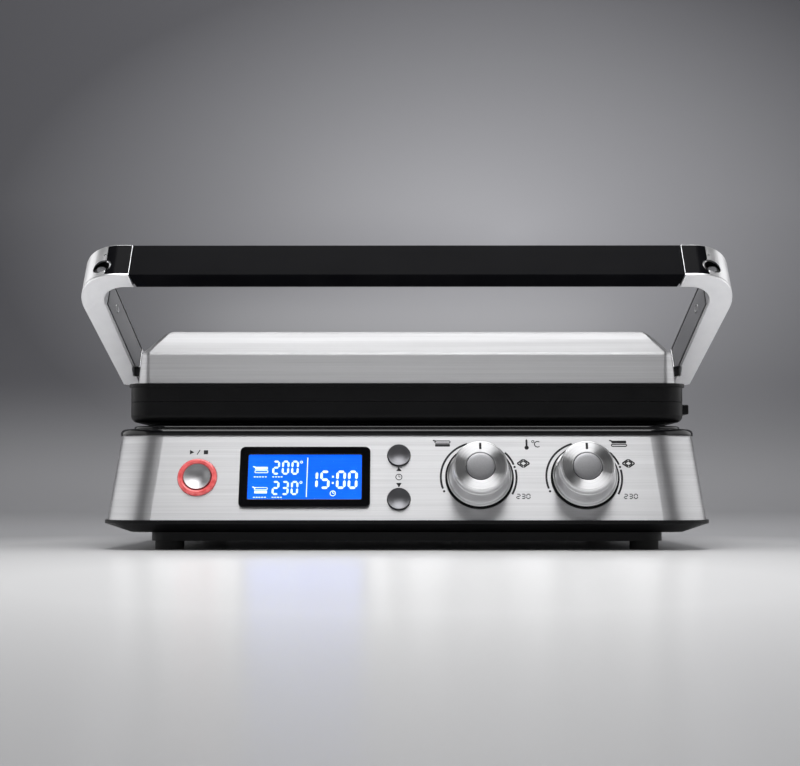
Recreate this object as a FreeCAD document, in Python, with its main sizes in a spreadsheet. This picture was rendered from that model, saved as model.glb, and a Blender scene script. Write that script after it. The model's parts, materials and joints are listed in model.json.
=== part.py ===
import FreeCAD, Part
import math
import operator
import os
from types import SimpleNamespace

import Sketcher

# Driving sizes in millimetres and degrees. X runs to the right, Y to the back, Z up.
SIZES = [
    # Clearances shared by many pieces
    ("fit_gap", 0.2, "gap between pieces seated on each other"),
    ("slide_gap", 0.4, "gap round a piece that slides"),
    ("swing_gap", 1.5, "gap beside a piece that swings"),
    ("shaft_gap", 0.05, "radial play of a shaft in its bore"),
    ("cut_over", 6, "how far a cutting tool runs past the piece"),
    # Base outline, with lengths along Y counted from the skirt's front edge
    ("base_width", 421, "across the skirt's edge"),
    ("base_depth", 364, "skirt's front edge to the rear wall"),
    ("base_corner_share", 0.0855, "plan radius of the skirt's front corners, of its width"),
    ("base_rear_radius", 12, "plan radius of the rear corners"),
    ("bottom_thickness", 6, "bottom cover"),
    ("skirt_height", 8.5, "skirt above the bottom cover, up to the steel"),
    ("skirt_edge", 2.4, "upright edge of the skirt"),
    ("skirt_undercut", 18, "how far the underside draws in"),
    ("rear_undercut", 4, "how far the underside draws in at the rear"),
    ("skirt_proud", 1.7, "skirt's edge beyond the steel"),
    ("tub_floor", 3, "thickness of the tub's floor"),
    ("tub_wall", 2.5, "thickness of the tub's walls"),
    ("plinth_side", 33.5, "bottom cover inside the skirt's edge at the sides"),
    ("plinth_rear", 30, "bottom cover ahead of the rear wall"),
    ("plinth_setback", 16, "bottom cover behind the skirt's edge"),
    ("plinth_radius", 14, "plan radius of the bottom cover"),
    ("foot_height", 6, "rubber foot below the bottom cover"),
    ("foot_radius", 10, "rubber foot"),
    ("foot_inset", 12.5, "foot's centre from the bottom cover's edges"),
    ("foot_screw_radius", 2.5, "shank of the screw in a foot"),
    ("foot_head_radius", 4.5, "head of the screw in a foot"),
    ("foot_head_height", 3, "head of the screw in a foot"),
    # Sloped steel panel
    ("panel_tilt", 22, "panel's slope from the upright"),
    ("panel_rise", 58.5, "height of the steel"),
    ("side_lean", 5.8, "how far the steel sides draw in"),
    ("fascia_wall", 1, "thickness of the steel"),
    ("fascia_short", 18, "steel's ends ahead of the rear wall"),
    # Deck round the lower plate
    ("deck_bead", 4.8, "height of the deck's outer bead"),
    ("deck_proud", 0.8, "bead beyond the steel"),
    ("deck_round", 3.5, "rounding of the bead"),
    ("step_height", 2.2, "raised step under the lid's edge"),
    ("step_inset", 9.5, "raised step from the bead's outside"),
    ("step_round", 1.6, "rounding of the raised step"),
    ("step_rear_gap", 2, "raised step's rear end behind the lid"),
    ("ledge_width", 6, "ledge under the lower plate's edge"),
    ("ledge_drop", 5, "ledge below the top of the steel"),
    # Cooking plates
    ("plate_side", 13.5, "cooking plate inside the lid's lip at the sides"),
    ("plate_end", 18.5, "cooking plate inside the lid's lip at front and rear"),
    ("plate_gap", 1, "gap round a cooking plate"),
    ("plate_floor", 3, "thickness of a plate under its ribs"),
    ("plate_rim", 5, "width of a plate's rim"),
    ("bed_lift", 1, "underside of the lower plate above the steel"),
    ("rib_height", 4.2, "ribs above the plate's floor"),
    ("rib_width", 4, "one rib"),
    ("rib_count", 28, "ribs on a plate"),
    ("plate_parting", 1.1, "gap between the closed plates' ribs"),
    ("drain_width", 30, "drain slot in the lower plate"),
    ("drain_depth", 5, "drain slot in the lower plate"),
    ("heater_radius", 3.4, "heater tube"),
    ("heater_margin", 46, "heater's straight runs inside the plate's sides"),
    ("heater_pitch", 60, "between the heater's runs"),
    ("pan_wall", 0.8, "thickness of the heat reflectors"),
    ("pan_depth", 12, "depth of the heat reflectors"),
    ("pan_margin", 9, "upper reflector inside the plate's edge"),
    # Lid
    ("lid_side", 13, "black shell's lip inside the skirt's edge"),
    ("lid_rear", 54, "black shell's rear ahead of the rear wall"),
    ("lid_front", 37, "shell's front behind the skirt's edge"),
    ("lid_radius", 18, "plan radius of the shell"),
    ("lid_gap", 2.6, "plate surround above the deck's step"),
    ("surround_height", 14.4, "plate surround"),
    ("shell_height", 13, "black shell above its seam"),
    ("lip_height", 2.4, "shell's lip"),
    ("lip_proud", 1.4, "shell's lip beyond its wall"),
    ("shell_wall", 3, "thickness of the shell"),
    ("surround_round", 5, "rounding under the surround"),
    ("cover_side", 7, "steel cover's foot inside the lip"),
    ("cover_inset", 3, "cover's foot behind the lip"),
    ("cover_lean", 2.5, "how far the cover's walls draw in"),
    ("cover_wall_rise", 21.5, "cover's walls, up to the crease"),
    ("cover_crown", 17.5, "cover's top above the crease"),
    ("cover_shoulder", 23, "how far the slope draws in"),
    ("cover_radius", 14, "plan radius of the cover"),
    ("cover_wall", 1.2, "thickness of the cover"),
    ("cover_round", 9, "rounding round the cover's top"),
    ("crease_round", 1.6, "rounding of the cover's crease"),
    # Hinge at the rear
    ("hinge_setback", 24, "hinge axis ahead of the rear wall"),
    ("hinge_lift", 5, "hinge axis above the lid's seam"),
    ("hinge_rise", 12, "how far the hinge floats up"),
    ("shaft_radius", 4, "hinge shaft"),
    ("tower_thickness", 14, "hinge tower across"),
    ("tower_side", 5, "tower's outer face inside the hinge arm"),
    ("tower_depth", 24, "hinge tower front to back"),
    ("tower_cap", 5, "tower above its slot"),
    ("tower_root", 16, "tower below the deck"),
    ("slider_depth", 12, "slider block front to back"),
    ("slider_height", 14, "slider block"),
    ("arm_side", 1.5, "hinge arm's inner face beyond the lip"),
    ("arm_thickness", 3.8, "hinge arm"),
    ("arm_lift", 9.3, "hinge arm's front end above the shell"),
    ("arm_front_height", 7.2, "hinge arm's front end"),
    ("arm_rear_height", 14, "hinge arm behind the handle"),
    ("arm_eye_radius", 11, "hinge arm round the shaft"),
    ("arm_taper_run", 57, "handle's foot to where the hinge arm grows taller"),
    ("arm_drop_run", 24, "hinge arm's drop to the shaft, ahead of the lid's rear"),
    ("shaft_cap_radius", 8, "cap on the shaft's end"),
    ("shaft_cap_height", 4, "cap on the shaft's end"),
    ("spacer_radius", 6, "spacer between hinge arm and cover"),
    ("spacer_front_run", 75, "handle's foot to the front spacer"),
    ("spacer_rear_run", 46, "rear spacer ahead of the lid's rear"),
    ("spacer_share", 0.56, "spacer's place up the cover's wall"),
    ("arm_screw_radius", 2.5, "screw through a spacer"),
    ("arm_screw_head", 4.5, "head of that screw"),
    ("arm_screw_grip", 8, "screw beyond the cover's wall"),
    ("lug_thickness", 12, "lug inside the cover"),
    ("lug_width", 18, "lug inside the cover"),
    # Handle, drawn in its own leaning plane
    ("handle_tilt", 50, "handle's lean to the front from the upright"),
    ("handle_share", 0.271, "handle's foot along the lid"),
    ("handle_lift", 3.6, "handle's foot above the shell"),
    ("handle_side", 13.5, "handle's outside at the foot beyond the lip"),
    ("handle_length", 111, "handle along its lean"),
    ("arm_outside_tilt", 13.6, "outward lean of the handle arms' outside"),
    ("arm_inside_tilt", 11, "outward lean of the handle arms' inside"),
    ("handle_band", 31.5, "width of the handle's band"),
    ("arm_band", 12.8, "thickness of a handle arm at its foot"),
    ("bar_band", 12, "thickness of the grip bar"),
    ("corner_reach", 16, "grip bar's end inside the handle's foot"),
    ("corner_outside", 26.5, "outer radius of the handle's corners"),
    ("corner_inside", 15, "inner radius of the handle's corners"),
    ("band_round", 1.6, "rounding of the grip bar's edges"),
    ("liner_thickness", 2, "liner on an arm's inside"),
    ("liner_edge", 2.5, "arm's edge beside its liner"),
    ("liner_low", 28, "liner's lower end along the arm"),
    ("liner_top_gap", 3, "liner's upper end below the corner's bend"),
    ("inlay_depth", 2, "inlay in the corner's top"),
    ("inlay_angle", 13, "inlay round the corner, in degrees"),
    ("inlay_play_angle", 0.5, "gap at the inlay's end, in degrees"),
    ("inlay_edge", 2.2, "rim round the inlay"),
    ("pocket_radius", 5.5, "screw pocket in the corner"),
    ("pocket_depth", 7.5, "screw pocket in the corner"),
    ("pocket_reach", 20.5, "screw pocket's centre from the bar's end"),
    ("pocket_back_share", 0.36, "screw pocket's place across the band"),
    ("corner_screw_radius", 3.2, "screw in the corner pocket"),
    ("corner_screw_height", 2, "screw in the corner pocket"),
    # Controls on the panel
    ("start_share", -0.342, "start button's place across the base, from the middle"),
    ("display_share", -0.1663, "display's place across the base"),
    ("timer_share", -0.0128, "timer buttons' place across the base"),
    ("timer_split", 16.2, "timer buttons above and below the row"),
    ("dial_left_share", 0.1188, "left dial's place across the base"),
    ("dial_right_share", 0.291, "right dial's place across the base"),
    ("start_radius", 9.4, "start button"),
    ("start_ring_radius", 13.6, "light ring round the start button"),
    ("timer_radius", 7.8, "timer button"),
    ("button_proud", 2, "buttons beyond the panel"),
    ("button_dome", 0.9, "rounding of a button's edge"),
    ("button_travel", 1.4, "how far a button goes in"),
    ("button_flange", 1, "button's collar behind the panel"),
    ("collar_height", 1.2, "thickness of that collar"),
    ("bezel_width", 90, "display bezel"),
    ("bezel_height", 45, "display bezel"),
    ("bezel_radius", 4, "display bezel's corners"),
    ("bezel_proud", 1.4, "display bezel beyond the panel"),
    ("lens_width", 78, "display lens"),
    ("lens_height", 33, "display lens"),
    ("lens_sunk", 0.5, "lens below the bezel's face"),
    ("lens_thickness", 1.2, "display lens"),
    ("module_margin", 2, "display module beyond the lens"),
    ("knob_height", 20, "dial's face from the panel"),
    ("knob_radius", 21.4, "dial at its foot"),
    ("knob_front_radius", 18, "dial's face"),
    ("knob_neck", 5, "height of the dial's foot"),
    ("knob_edge", 1.6, "chamfer round the dial's face"),
    ("dial_bezel_radius", 23.6, "bezel under a dial"),
    ("dial_bezel_height", 1, "bezel under a dial"),
    ("dial_lift", 0.4, "dial above its bezel"),
    ("centre_radius", 9.7, "button in a dial's middle"),
    ("centre_depth", 5.2, "length of that button"),
    ("centre_proud", 0.8, "that button beyond the dial's face"),
    ("dial_shaft_radius", 3, "dial's shaft"),
    ("dial_shaft_height", 12, "dial's shaft from the panel"),
    ("encoder_size", 14, "encoder under a dial"),
    ("board_setback", 7.6, "board's face behind the panel"),
    ("board_thickness", 1.6, "circuit boards"),
    ("bay_play", 4.4, "opening behind the controls beyond the start button's collar"),
    ("board_end", 4, "control board inside the panel's ends, along the slope"),
    ("bay_side", 5, "opening behind the controls inside the board's sides"),
    ("bay_end", 2, "opening behind the controls inside the board's ends"),
    # Inside the tub and at its rear
    ("power_width", 110, "power board"),
    ("power_depth", 80, "power board"),
    ("power_across_share", -0.261, "power board's place across the base"),
    ("power_along_share", 0.33, "power board's place along the base"),
    ("power_post", 4, "posts under the power board"),
    ("power_post_radius", 4, "posts under the power board"),
    ("power_part_height", 18, "parts on the power board"),
    ("tray_width", 150, "drip tray"),
    ("tray_depth", 150, "drip tray"),
    ("tray_height", 26, "drip tray"),
    ("tray_wall", 2, "drip tray"),
    ("tray_pull", 9, "drip tray's finger pull, height"),
    ("tray_pull_width", 50, "drip tray's finger pull"),
    ("gland_share", -0.356, "cord gland's place across the base"),
    ("gland_z", 34, "cord gland above the worktop"),
    ("gland_radius", 6, "cord gland's neck"),
    ("gland_bore", 3.6, "hole for the cord"),
    ("gland_flange", 2, "gland beyond the rear wall"),
    ("gland_flange_radius", 9, "gland's flange"),
    ("gland_length", 12, "gland inside the wall"),
    # Plate latches
    ("latch_width", 24, "latch button along Y"),
    ("latch_height", 7, "latch button"),
    ("latch_proud", 5.4, "upper latch beyond the surround"),
    ("latch_travel", 4, "how far a latch goes in"),
    ("latch_upper_run", 47, "upper latch behind the lid's front"),
    ("latch_lower_share", 0.55, "lower latch's place along the base"),
    ("latch_drop", 14, "lower latch's underside below the top of the steel"),
    ("latch_lower_proud", 4.6, "lower latch beyond the steel"),
]

doc = FreeCAD.newDocument("ContactGrill")
sheet = doc.addObject("Spreadsheet::Sheet", "Sizes")
for row, (alias, number, note) in enumerate(SIZES, 1):
    sheet.set(f"A{row}", note)
    sheet.set(f"B{row}", str(number))
    sheet.setAlias(f"B{row}", alias)
doc.recompute()

OPERATIONS = {"+": operator.add, "-": operator.sub, "*": operator.mul, "/": operator.truediv}


class Size:
    """A size of the sheet, or a sum of several: its formula for the document and its number."""

    def __init__(self, formula, number):
        self.formula = formula
        self.number = number

    def __add__(self, other):
        return joined(self, "+", other)

    def __radd__(self, other):
        return joined(other, "+", self)

    def __sub__(self, other):
        return joined(self, "-", other)

    def __rsub__(self, other):
        return joined(other, "-", self)

    def __mul__(self, other):
        return joined(self, "*", other)

    def __rmul__(self, other):
        return joined(other, "*", self)

    def __truediv__(self, other):
        return joined(self, "/", other)

    def __neg__(self):
        return joined(0, "-", self)


def as_size(value):
    return value if isinstance(value, Size) else Size(str(value), value)


def joined(left, sign, right):
    left, right = as_size(left), as_size(right)
    formula = f"({left.formula} {sign} {right.formula})"
    return Size(formula, OPERATIONS[sign](left.number, right.number))


def sine(angle):
    return Size(f"sin({angle.formula})", math.sin(math.radians(angle.number)))


def cosine(angle):
    return Size(f"cos({angle.formula})", math.cos(math.radians(angle.number)))


def tangent(angle):
    return Size(f"tan({angle.formula})", math.tan(math.radians(angle.number)))


size = SimpleNamespace(**{alias: Size(f"Sizes.{alias}", number) for alias, number, note in SIZES})

# Widths, lengths along Y and heights that follow from the sheet
size.base_front_radius = size.base_width * size.base_corner_share
size.lid_width = size.base_width - 2 * size.lid_side
size.plate_width = size.lid_width - 2 * size.plate_side
size.cover_width = size.lid_width - 2 * size.cover_side
size.arm_inside = size.lid_width / 2 + size.arm_side
size.tower_outside = size.arm_inside - size.tower_side
size.handle_foot_half = size.lid_width / 2 + size.handle_side
size.bar_half = size.handle_foot_half - size.corner_reach
size.plinth_width = size.base_width - 2 * size.plinth_side
size.heater_span = size.plate_width - 2 * size.heater_margin
size.start_u = size.base_width * size.start_share
size.bay_width = 2 * (size.start_ring_radius + size.button_flange + size.bay_play - size.start_u)
size.board_width = size.bay_width + 2 * size.bay_side
size.display_u = size.base_width * size.display_share
size.timer_u = size.base_width * size.timer_share
size.dial_left_u = size.base_width * size.dial_left_share
size.dial_right_u = size.base_width * size.dial_right_share
size.power_x = size.base_width * size.power_across_share
size.gland_x = size.base_width * size.gland_share
size.lid_depth = size.base_depth - size.lid_front - size.lid_rear
size.plate_depth = size.lid_depth - 2 * size.plate_end
size.plinth_depth = size.base_depth - size.plinth_setback - size.plinth_rear
lid_end = size.lid_front + size.lid_depth
size.step_rear = lid_end + size.step_rear_gap
size.hinge_y = size.base_depth - size.hinge_setback
size.handle_y = size.lid_front + size.lid_depth * size.handle_share
size.arm_taper_y = size.handle_y + size.arm_taper_run
size.arm_drop_y = lid_end - size.arm_drop_run
size.spacer_front_y = size.handle_y + size.spacer_front_run
size.spacer_rear_y = lid_end - size.spacer_rear_run
size.latch_upper_y = size.lid_front + size.latch_upper_run
size.latch_lower_y = size.base_depth * size.latch_lower_share
size.power_y = size.base_depth * size.power_along_share
size.skirt_bottom = size.foot_height + size.bottom_thickness
size.skirt_top = size.skirt_bottom + size.skirt_height
size.panel_top = size.skirt_top + size.panel_rise
size.plate_bed = size.panel_top + size.bed_lift
deck_top = size.panel_top + size.deck_bead
step_top = deck_top + size.step_height
size.lid_bottom = step_top + size.lid_gap
size.lid_seam = size.lid_bottom + size.surround_height
size.lid_shell_top = size.lid_seam + size.shell_height
size.cover_crease = size.lid_shell_top + size.cover_wall_rise
size.cover_top = size.cover_crease + size.cover_crown
size.hinge_z = size.lid_seam + size.hinge_lift
size.arm_front_bottom = size.lid_shell_top + size.arm_lift
size.handle_z = size.lid_shell_top + size.handle_lift
size.latch_lower_z = size.panel_top - size.latch_drop

# Lengths on the slope, and other values used in several pieces
panel_run = size.panel_rise * tangent(size.panel_tilt)
panel_slope = size.panel_rise / cosine(size.panel_tilt)
control_row = panel_slope / 2
size.board_height = panel_slope - 2 * size.board_end
size.bay_height = size.board_height - 2 * size.bay_end
knob_reach = (size.knob_height * cosine(size.panel_tilt)
              + size.knob_front_radius * sine(size.panel_tilt)
              - size.skirt_proud - control_row * sine(size.panel_tilt))
front_y = (knob_reach - size.base_depth - size.gland_flange) / 2
half_steel = size.base_width / 2 - size.skirt_proud
steel_radius = size.base_front_radius - size.skirt_proud
lid_centre = size.lid_front + size.lid_depth / 2
plate_top = size.plate_bed + size.plate_floor + size.rib_height
upper_plate_bottom = plate_top + size.plate_parting
half_shell = size.lid_width / 2 - size.lip_proud
tub_inside = size.skirt_bottom + size.tub_floor
latch_upper_z = size.lid_seam - size.fit_gap - size.slide_gap - size.latch_height

quarter_turn = as_size(90)
panel_turn = quarter_turn - size.panel_tilt
half_turn = as_size(180)

nodes = []


def bind(item, prop, value):
    item.setExpression(prop, as_size(value).formula)


def place(item, x=0, y=0, z=0, axis="x", turn=0):
    """Put an item at a point, turned about one axis; the place follows the sheet."""
    about = FreeCAD.Vector(axis == "x", axis == "y", axis == "z")
    angle = as_size(turn)
    item.Placement = FreeCAD.Placement(FreeCAD.Vector(), FreeCAD.Rotation(about, angle.number))
    for name, value in zip("xyz", (x, y, z)):
        bind(item, f"Placement.Base.{name}", value)
    if angle.number:
        bind(item, "Placement.Rotation.Angle", angle)


def on_panel(u, v, n):
    """The point u to the right, v up the slope and n out from the steel panel."""
    slope_sine, slope_cosine = sine(size.panel_tilt), cosine(size.panel_tilt)
    y = front_y + size.skirt_proud + v * slope_sine - n * slope_cosine
    z = size.skirt_top + v * slope_cosine + n * slope_sine
    return u, y, z


def new_body(label):
    made = doc.addObject("PartDesign::Body", label)
    made.Label = label
    nodes.append(made)
    return made


def new_sketch(body, name, plane="XY_Plane", rise=0):
    made = body.newObject("Sketcher::SketchObject", f"{body.Label}_{name}")
    support = next(part for part in body.Origin.OriginFeatures if part.Role == plane)
    made.AttachmentSupport = [(support, "")]
    made.MapMode = "FlatFace"
    bind(made, "AttachmentOffset.Base.z", rise)
    return made


def line_to(x, y):
    return SimpleNamespace(kind="line", x=as_size(x), y=as_size(y), radius=None)


def arc_left(x, y, radius):
    return SimpleNamespace(kind="left", x=as_size(x), y=as_size(y), radius=as_size(radius))


def arc_right(x, y, radius):
    return SimpleNamespace(kind="right", x=as_size(x), y=as_size(y), radius=as_size(radius))


def mirrored(path, side):
    """The path itself for side 1, its mirror image in the vertical axis for side -1."""
    swapped = {"line": "line", "left": "right", "right": "left"}
    if side > 0:
        return path
    return [SimpleNamespace(kind=swapped[step.kind], x=-step.x, y=step.y, radius=step.radius)
            for step in path]


def arc_between(start, end, radius, left):
    """A short arc from start to end that turns to the left or to the right."""
    if not left:
        start, end = end, start
    chord = end - start
    middle = (start + end) / 2
    height = math.sqrt(max(radius ** 2 - (chord.Length / 2) ** 2, 0))
    centre = middle + FreeCAD.Vector(-chord.y, chord.x, 0).normalize() * height
    angles = [math.atan2(point.y - centre.y, point.x - centre.x) for point in (start, end)]
    circle = Part.Circle(centre, FreeCAD.Vector(0, 0, 1), radius)
    return Part.ArcOfCircle(circle, angles[0], angles[1])


def draw(sketch, path):
    """Draw a closed path; each step's line or arc leads from the step before to its own point."""
    points = [FreeCAD.Vector(step.x.number, step.y.number, 0) for step in path]
    for index, step in enumerate(path):
        if step.kind == "line":
            sketch.addGeometry(Part.LineSegment(points[index - 1], points[index]))
        else:
            arc = arc_between(points[index - 1], points[index], step.radius.number, step.kind == "left")
            sketch.addGeometry(arc)
    for index, step in enumerate(path):
        following = (index + 1) % len(path)
        end = 1 if step.kind == "right" else 2
        start = 2 if path[following].kind == "right" else 1
        sketch.addConstraint(Sketcher.Constraint("Coincident", index, end, following, start))
        for kind, own_axis, value in (("DistanceX", -2, step.x), ("DistanceY", -1, step.y)):
            if value.number == 0:
                sketch.addConstraint(Sketcher.Constraint("PointOnObject", index, end, own_axis))
            else:
                rule = Sketcher.Constraint(kind, -1, 1, index, end, value.number)
                bind(sketch, f"Constraints[{sketch.addConstraint(rule)}]", value)
        if step.radius:
            rule = Sketcher.Constraint("Radius", index, step.radius.number)
            bind(sketch, f"Constraints[{sketch.addConstraint(rule)}]", step.radius)
    return sketch


def rounded_plan(half, front, rear, front_radius, rear_radius):
    """A plan outline with rounded corners; front and rear are counted from the skirt's edge."""
    near, far = front_y + front, front_y + rear
    return [
        arc_left(-half + front_radius, near, front_radius),
        line_to(half - front_radius, near),
        arc_left(half, near + front_radius, front_radius),
        line_to(half, far - rear_radius),
        arc_left(half - rear_radius, far, rear_radius),
        line_to(-half + rear_radius, far),
        arc_left(-half, far - rear_radius, rear_radius),
        line_to(-half, near + front_radius),
    ]


def rounded_tile(width, height, radius):
    """A rounded rectangle round the sketch's own middle."""
    across, up = width / 2, height / 2
    return [
        arc_left(-across + radius, -up, radius),
        line_to(across - radius, -up),
        arc_left(across, -up + radius, radius),
        line_to(across, up - radius),
        arc_left(across - radius, up, radius),
        line_to(-across + radius, up),
        arc_left(-across, up - radius, radius),
        line_to(-across, -up + radius),
    ]


def pad(body, name, path, length, rise=0, plane="XY_Plane", back=False, cut=False):
    """A drawn outline pushed out into a solid, or cut away when cut is set."""
    profile = draw(new_sketch(body, f"{name}_outline", plane, rise), path)
    made = body.newObject("PartDesign::Pocket" if cut else "PartDesign::Pad", f"{body.Label}_{name}")
    made.Profile = profile
    made.Reversed = back
    bind(made, "Length", length)
    return made


def loft(body, name, low_path, low, high_path, high, cut=False):
    """A solid between two outlines at two heights, or the same cut away."""
    kind = "PartDesign::SubtractiveLoft" if cut else "PartDesign::AdditiveLoft"
    lower = draw(new_sketch(body, f"{name}_low", rise=low), low_path)
    upper = draw(new_sketch(body, f"{name}_high", rise=high), high_path)
    made = body.newObject(kind, f"{body.Label}_{name}")
    made.Profile = lower
    made.Sections = [upper]
    made.Ruled = True
    return made


def turned(body, path, name="turning"):
    """A solid of revolution about the body's own Z axis, from a half section."""
    profile = draw(new_sketch(body, f"{name}_section", "XZ_Plane"), path)
    made = body.newObject("PartDesign::Revolution", f"{body.Label}_{name}")
    made.Profile = profile
    spindle = next(part for part in body.Origin.OriginFeatures if part.Role == "Z_Axis")
    made.ReferenceAxis = (spindle, [""])
    return made


def block(body, name, lengths, corner, cut=False, turn=0):
    """A box added to a body or cut from it, by its lengths and its low corner."""
    made = body.newObject("PartDesign::SubtractiveBox" if cut else "PartDesign::AdditiveBox",
                          f"{body.Label}_{name}")
    for prop, value in zip(("Length", "Width", "Height"), lengths):
        bind(made, prop, value)
    place(made, *corner, turn=turn)
    return made


def rod(body, name, radius, height, foot, cut=False, axis="x", turn=0):
    """A cylinder added to a body or cut from it, by its foot; turned from standing upright."""
    made = body.newObject("PartDesign::SubtractiveCylinder" if cut else "PartDesign::AdditiveCylinder",
                          f"{body.Label}_{name}")
    bind(made, "Radius", radius)
    bind(made, "Height", height)
    place(made, *foot, axis=axis, turn=turn)
    return made


def round_edges(body, name, radius, chosen):
    """Round the edges of the body so far that the test picks out."""
    doc.recompute()
    before = body.Tip
    names = [f"Edge{number}" for number, edge in enumerate(before.Shape.Edges, 1) if chosen(edge)]
    made = body.newObject("PartDesign::Fillet", f"{body.Label}_{name}")
    made.Base = (before, names)
    bind(made, "Radius", radius)
    return made


def lies_at(level):
    """A test for edges that lie flat at one height of the body's own frame."""
    return lambda edge: max(abs(edge.BoundBox.ZMin - level.number),
                            abs(edge.BoundBox.ZMax - level.number)) < size.fit_gap.number / 2


def group(label, bodies):
    """Several equal pieces kept as one node of separate solids."""
    made = doc.addObject("Part::Compound", label)
    made.Label = label
    made.Links = bodies
    for piece in bodies:
        nodes.remove(piece)
    nodes.append(made)
    return made


def steel_plan(share, inset):
    """The steel wrap's plan at a share of its height, drawn in by an inset."""
    near = size.skirt_proud + panel_run * share + inset / cosine(size.panel_tilt)
    return rounded_plan(half_steel - size.side_lean * share - inset, near,
                        size.base_depth - size.skirt_proud - inset,
                        steel_radius - inset, size.base_rear_radius - size.skirt_proud - inset)


def panel_hole(body, name, u, v, radius):
    """A round hole through the sloped panel."""
    foot = on_panel(u, v, -size.board_setback)
    rod(body, name, radius, size.board_setback + size.cut_over, foot, cut=True, turn=panel_turn)


def panel_window(body, name, u, v, width, height):
    """A square hole through the sloped panel."""
    corner = on_panel(u - width / 2, v - height / 2, -size.board_setback)
    block(body, name, (width, height, size.board_setback + size.cut_over), corner,
          cut=True, turn=panel_turn)


def make_tub():
    """The moulded tub: a floor drawn in below a blade-like skirt, and walls behind the steel."""
    body = new_body("base_tub")
    half = size.base_width / 2
    edge_low = size.skirt_top - size.skirt_edge
    skirt = rounded_plan(half, 0, size.base_depth, size.base_front_radius, size.base_rear_radius)
    hull = rounded_plan(half - size.skirt_undercut, size.skirt_undercut,
                        size.base_depth - size.rear_undercut,
                        size.base_front_radius - size.skirt_undercut,
                        size.base_rear_radius - size.rear_undercut)
    loft(body, "hull", hull, size.skirt_bottom, skirt, edge_low)
    pad(body, "edge", skirt, size.skirt_edge, rise=edge_low)
    outside = size.fascia_wall + size.fit_gap
    inside = outside + size.tub_wall
    loft(body, "wall", steel_plan(0, outside), size.skirt_top, steel_plan(1, outside), size.panel_top)
    rear_near = size.base_depth - size.fascia_short + size.fit_gap
    rear_far = size.base_depth - size.skirt_proud
    rear_radius = size.base_rear_radius - size.skirt_proud

    def rear_plan(share):
        across = half_steel - size.side_lean * share
        near, far = front_y + rear_near, front_y + rear_far
        return [
            line_to(-across, near),
            line_to(across, near),
            line_to(across, far - rear_radius),
            arc_left(across - rear_radius, far, rear_radius),
            line_to(-across + rear_radius, far),
            arc_left(-across, far - rear_radius, rear_radius),
        ]

    loft(body, "rear", rear_plan(0), size.skirt_top, rear_plan(1), size.panel_top)
    loft(body, "hollow", steel_plan(0, inside), size.skirt_top, steel_plan(1, inside),
         size.panel_top, cut=True)
    well_in = size.skirt_undercut + size.tub_wall
    well = rounded_plan(half - well_in, well_in, size.base_depth - size.rear_undercut - size.tub_wall,
                        size.base_front_radius - well_in,
                        size.base_rear_radius - size.rear_undercut - size.tub_wall)
    pad(body, "well", well, size.skirt_top - tub_inside, rise=tub_inside, cut=True, back=True)
    panel_window(body, "bay", 0, control_row, size.bay_width, size.bay_height)
    slot = size.tray_width + 2 * size.slide_gap
    block(body, "tray_slot", (slot, size.cut_over * 3, size.tray_height + 2 * size.slide_gap),
          (-slot / 2, front_y + size.base_depth - size.cut_over * 2, tub_inside), cut=True)
    rod(body, "gland_hole", size.gland_radius + size.fit_gap, size.cut_over * 3,
        (size.gland_x, front_y + size.base_depth + size.cut_over, size.gland_z),
        cut=True, turn=quarter_turn)
    latch_cut(body)
    for across in (-1, 1):
        for along in (-1, 1):
            reach = size.power_width / 2 - size.power_post_radius
            deep = size.power_depth / 2 - size.power_post_radius
            rod(body, "post", size.power_post_radius, size.power_post,
                (size.power_x + across * reach, front_y + size.power_y + along * deep, tub_inside))
    for side in (-1, 1):
        guide = size.tray_width / 2 + size.slide_gap
        low_x = guide if side > 0 else -guide - size.tub_wall
        length = size.tray_depth - size.cut_over
        block(body, "guide", (size.tub_wall, length, size.tray_height / 2),
              (low_x, front_y + size.base_depth - size.rear_undercut - size.tub_wall - length, tub_inside))


def latch_cut(body):
    """The slot for the lower latch through the right-hand wall."""
    gap = size.slide_gap
    block(body, "latch_slot",
          (size.cut_over * 4, size.latch_width + 2 * gap, size.latch_height + 2 * gap),
          (half_steel - size.cut_over * 3, front_y + size.latch_lower_y - size.latch_width / 2 - gap,
           size.latch_lower_z - gap), cut=True)


def make_fascia():
    """The steel wrap over the panel and both sides, with the holes for the controls."""
    body = new_body("front_fascia")
    loft(body, "outside", steel_plan(0, as_size(0)), size.skirt_top,
         steel_plan(1, as_size(0)), size.panel_top)
    loft(body, "inside", steel_plan(0, size.fascia_wall), size.skirt_top,
         steel_plan(1, size.fascia_wall), size.panel_top, cut=True)
    block(body, "rear_end", (size.base_width, size.fascia_short + size.cut_over, size.panel_top),
          (-size.base_width / 2, front_y + size.base_depth - size.fascia_short, 0), cut=True)
    panel_hole(body, "start_hole", size.start_u, control_row, size.start_ring_radius + size.fit_gap)
    for side in (-1, 1):
        panel_hole(body, "timer_hole", size.timer_u, control_row + side * size.timer_split,
                   size.timer_radius + size.slide_gap)
    for u in (size.dial_left_u, size.dial_right_u):
        panel_hole(body, "dial_hole", u, control_row, size.dial_shaft_radius + size.slide_gap)
    margin = 2 * (size.module_margin + size.fit_gap)
    panel_window(body, "display_hole", size.display_u, control_row,
                 size.lens_width + margin, size.lens_height + margin)
    latch_cut(body)


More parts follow.
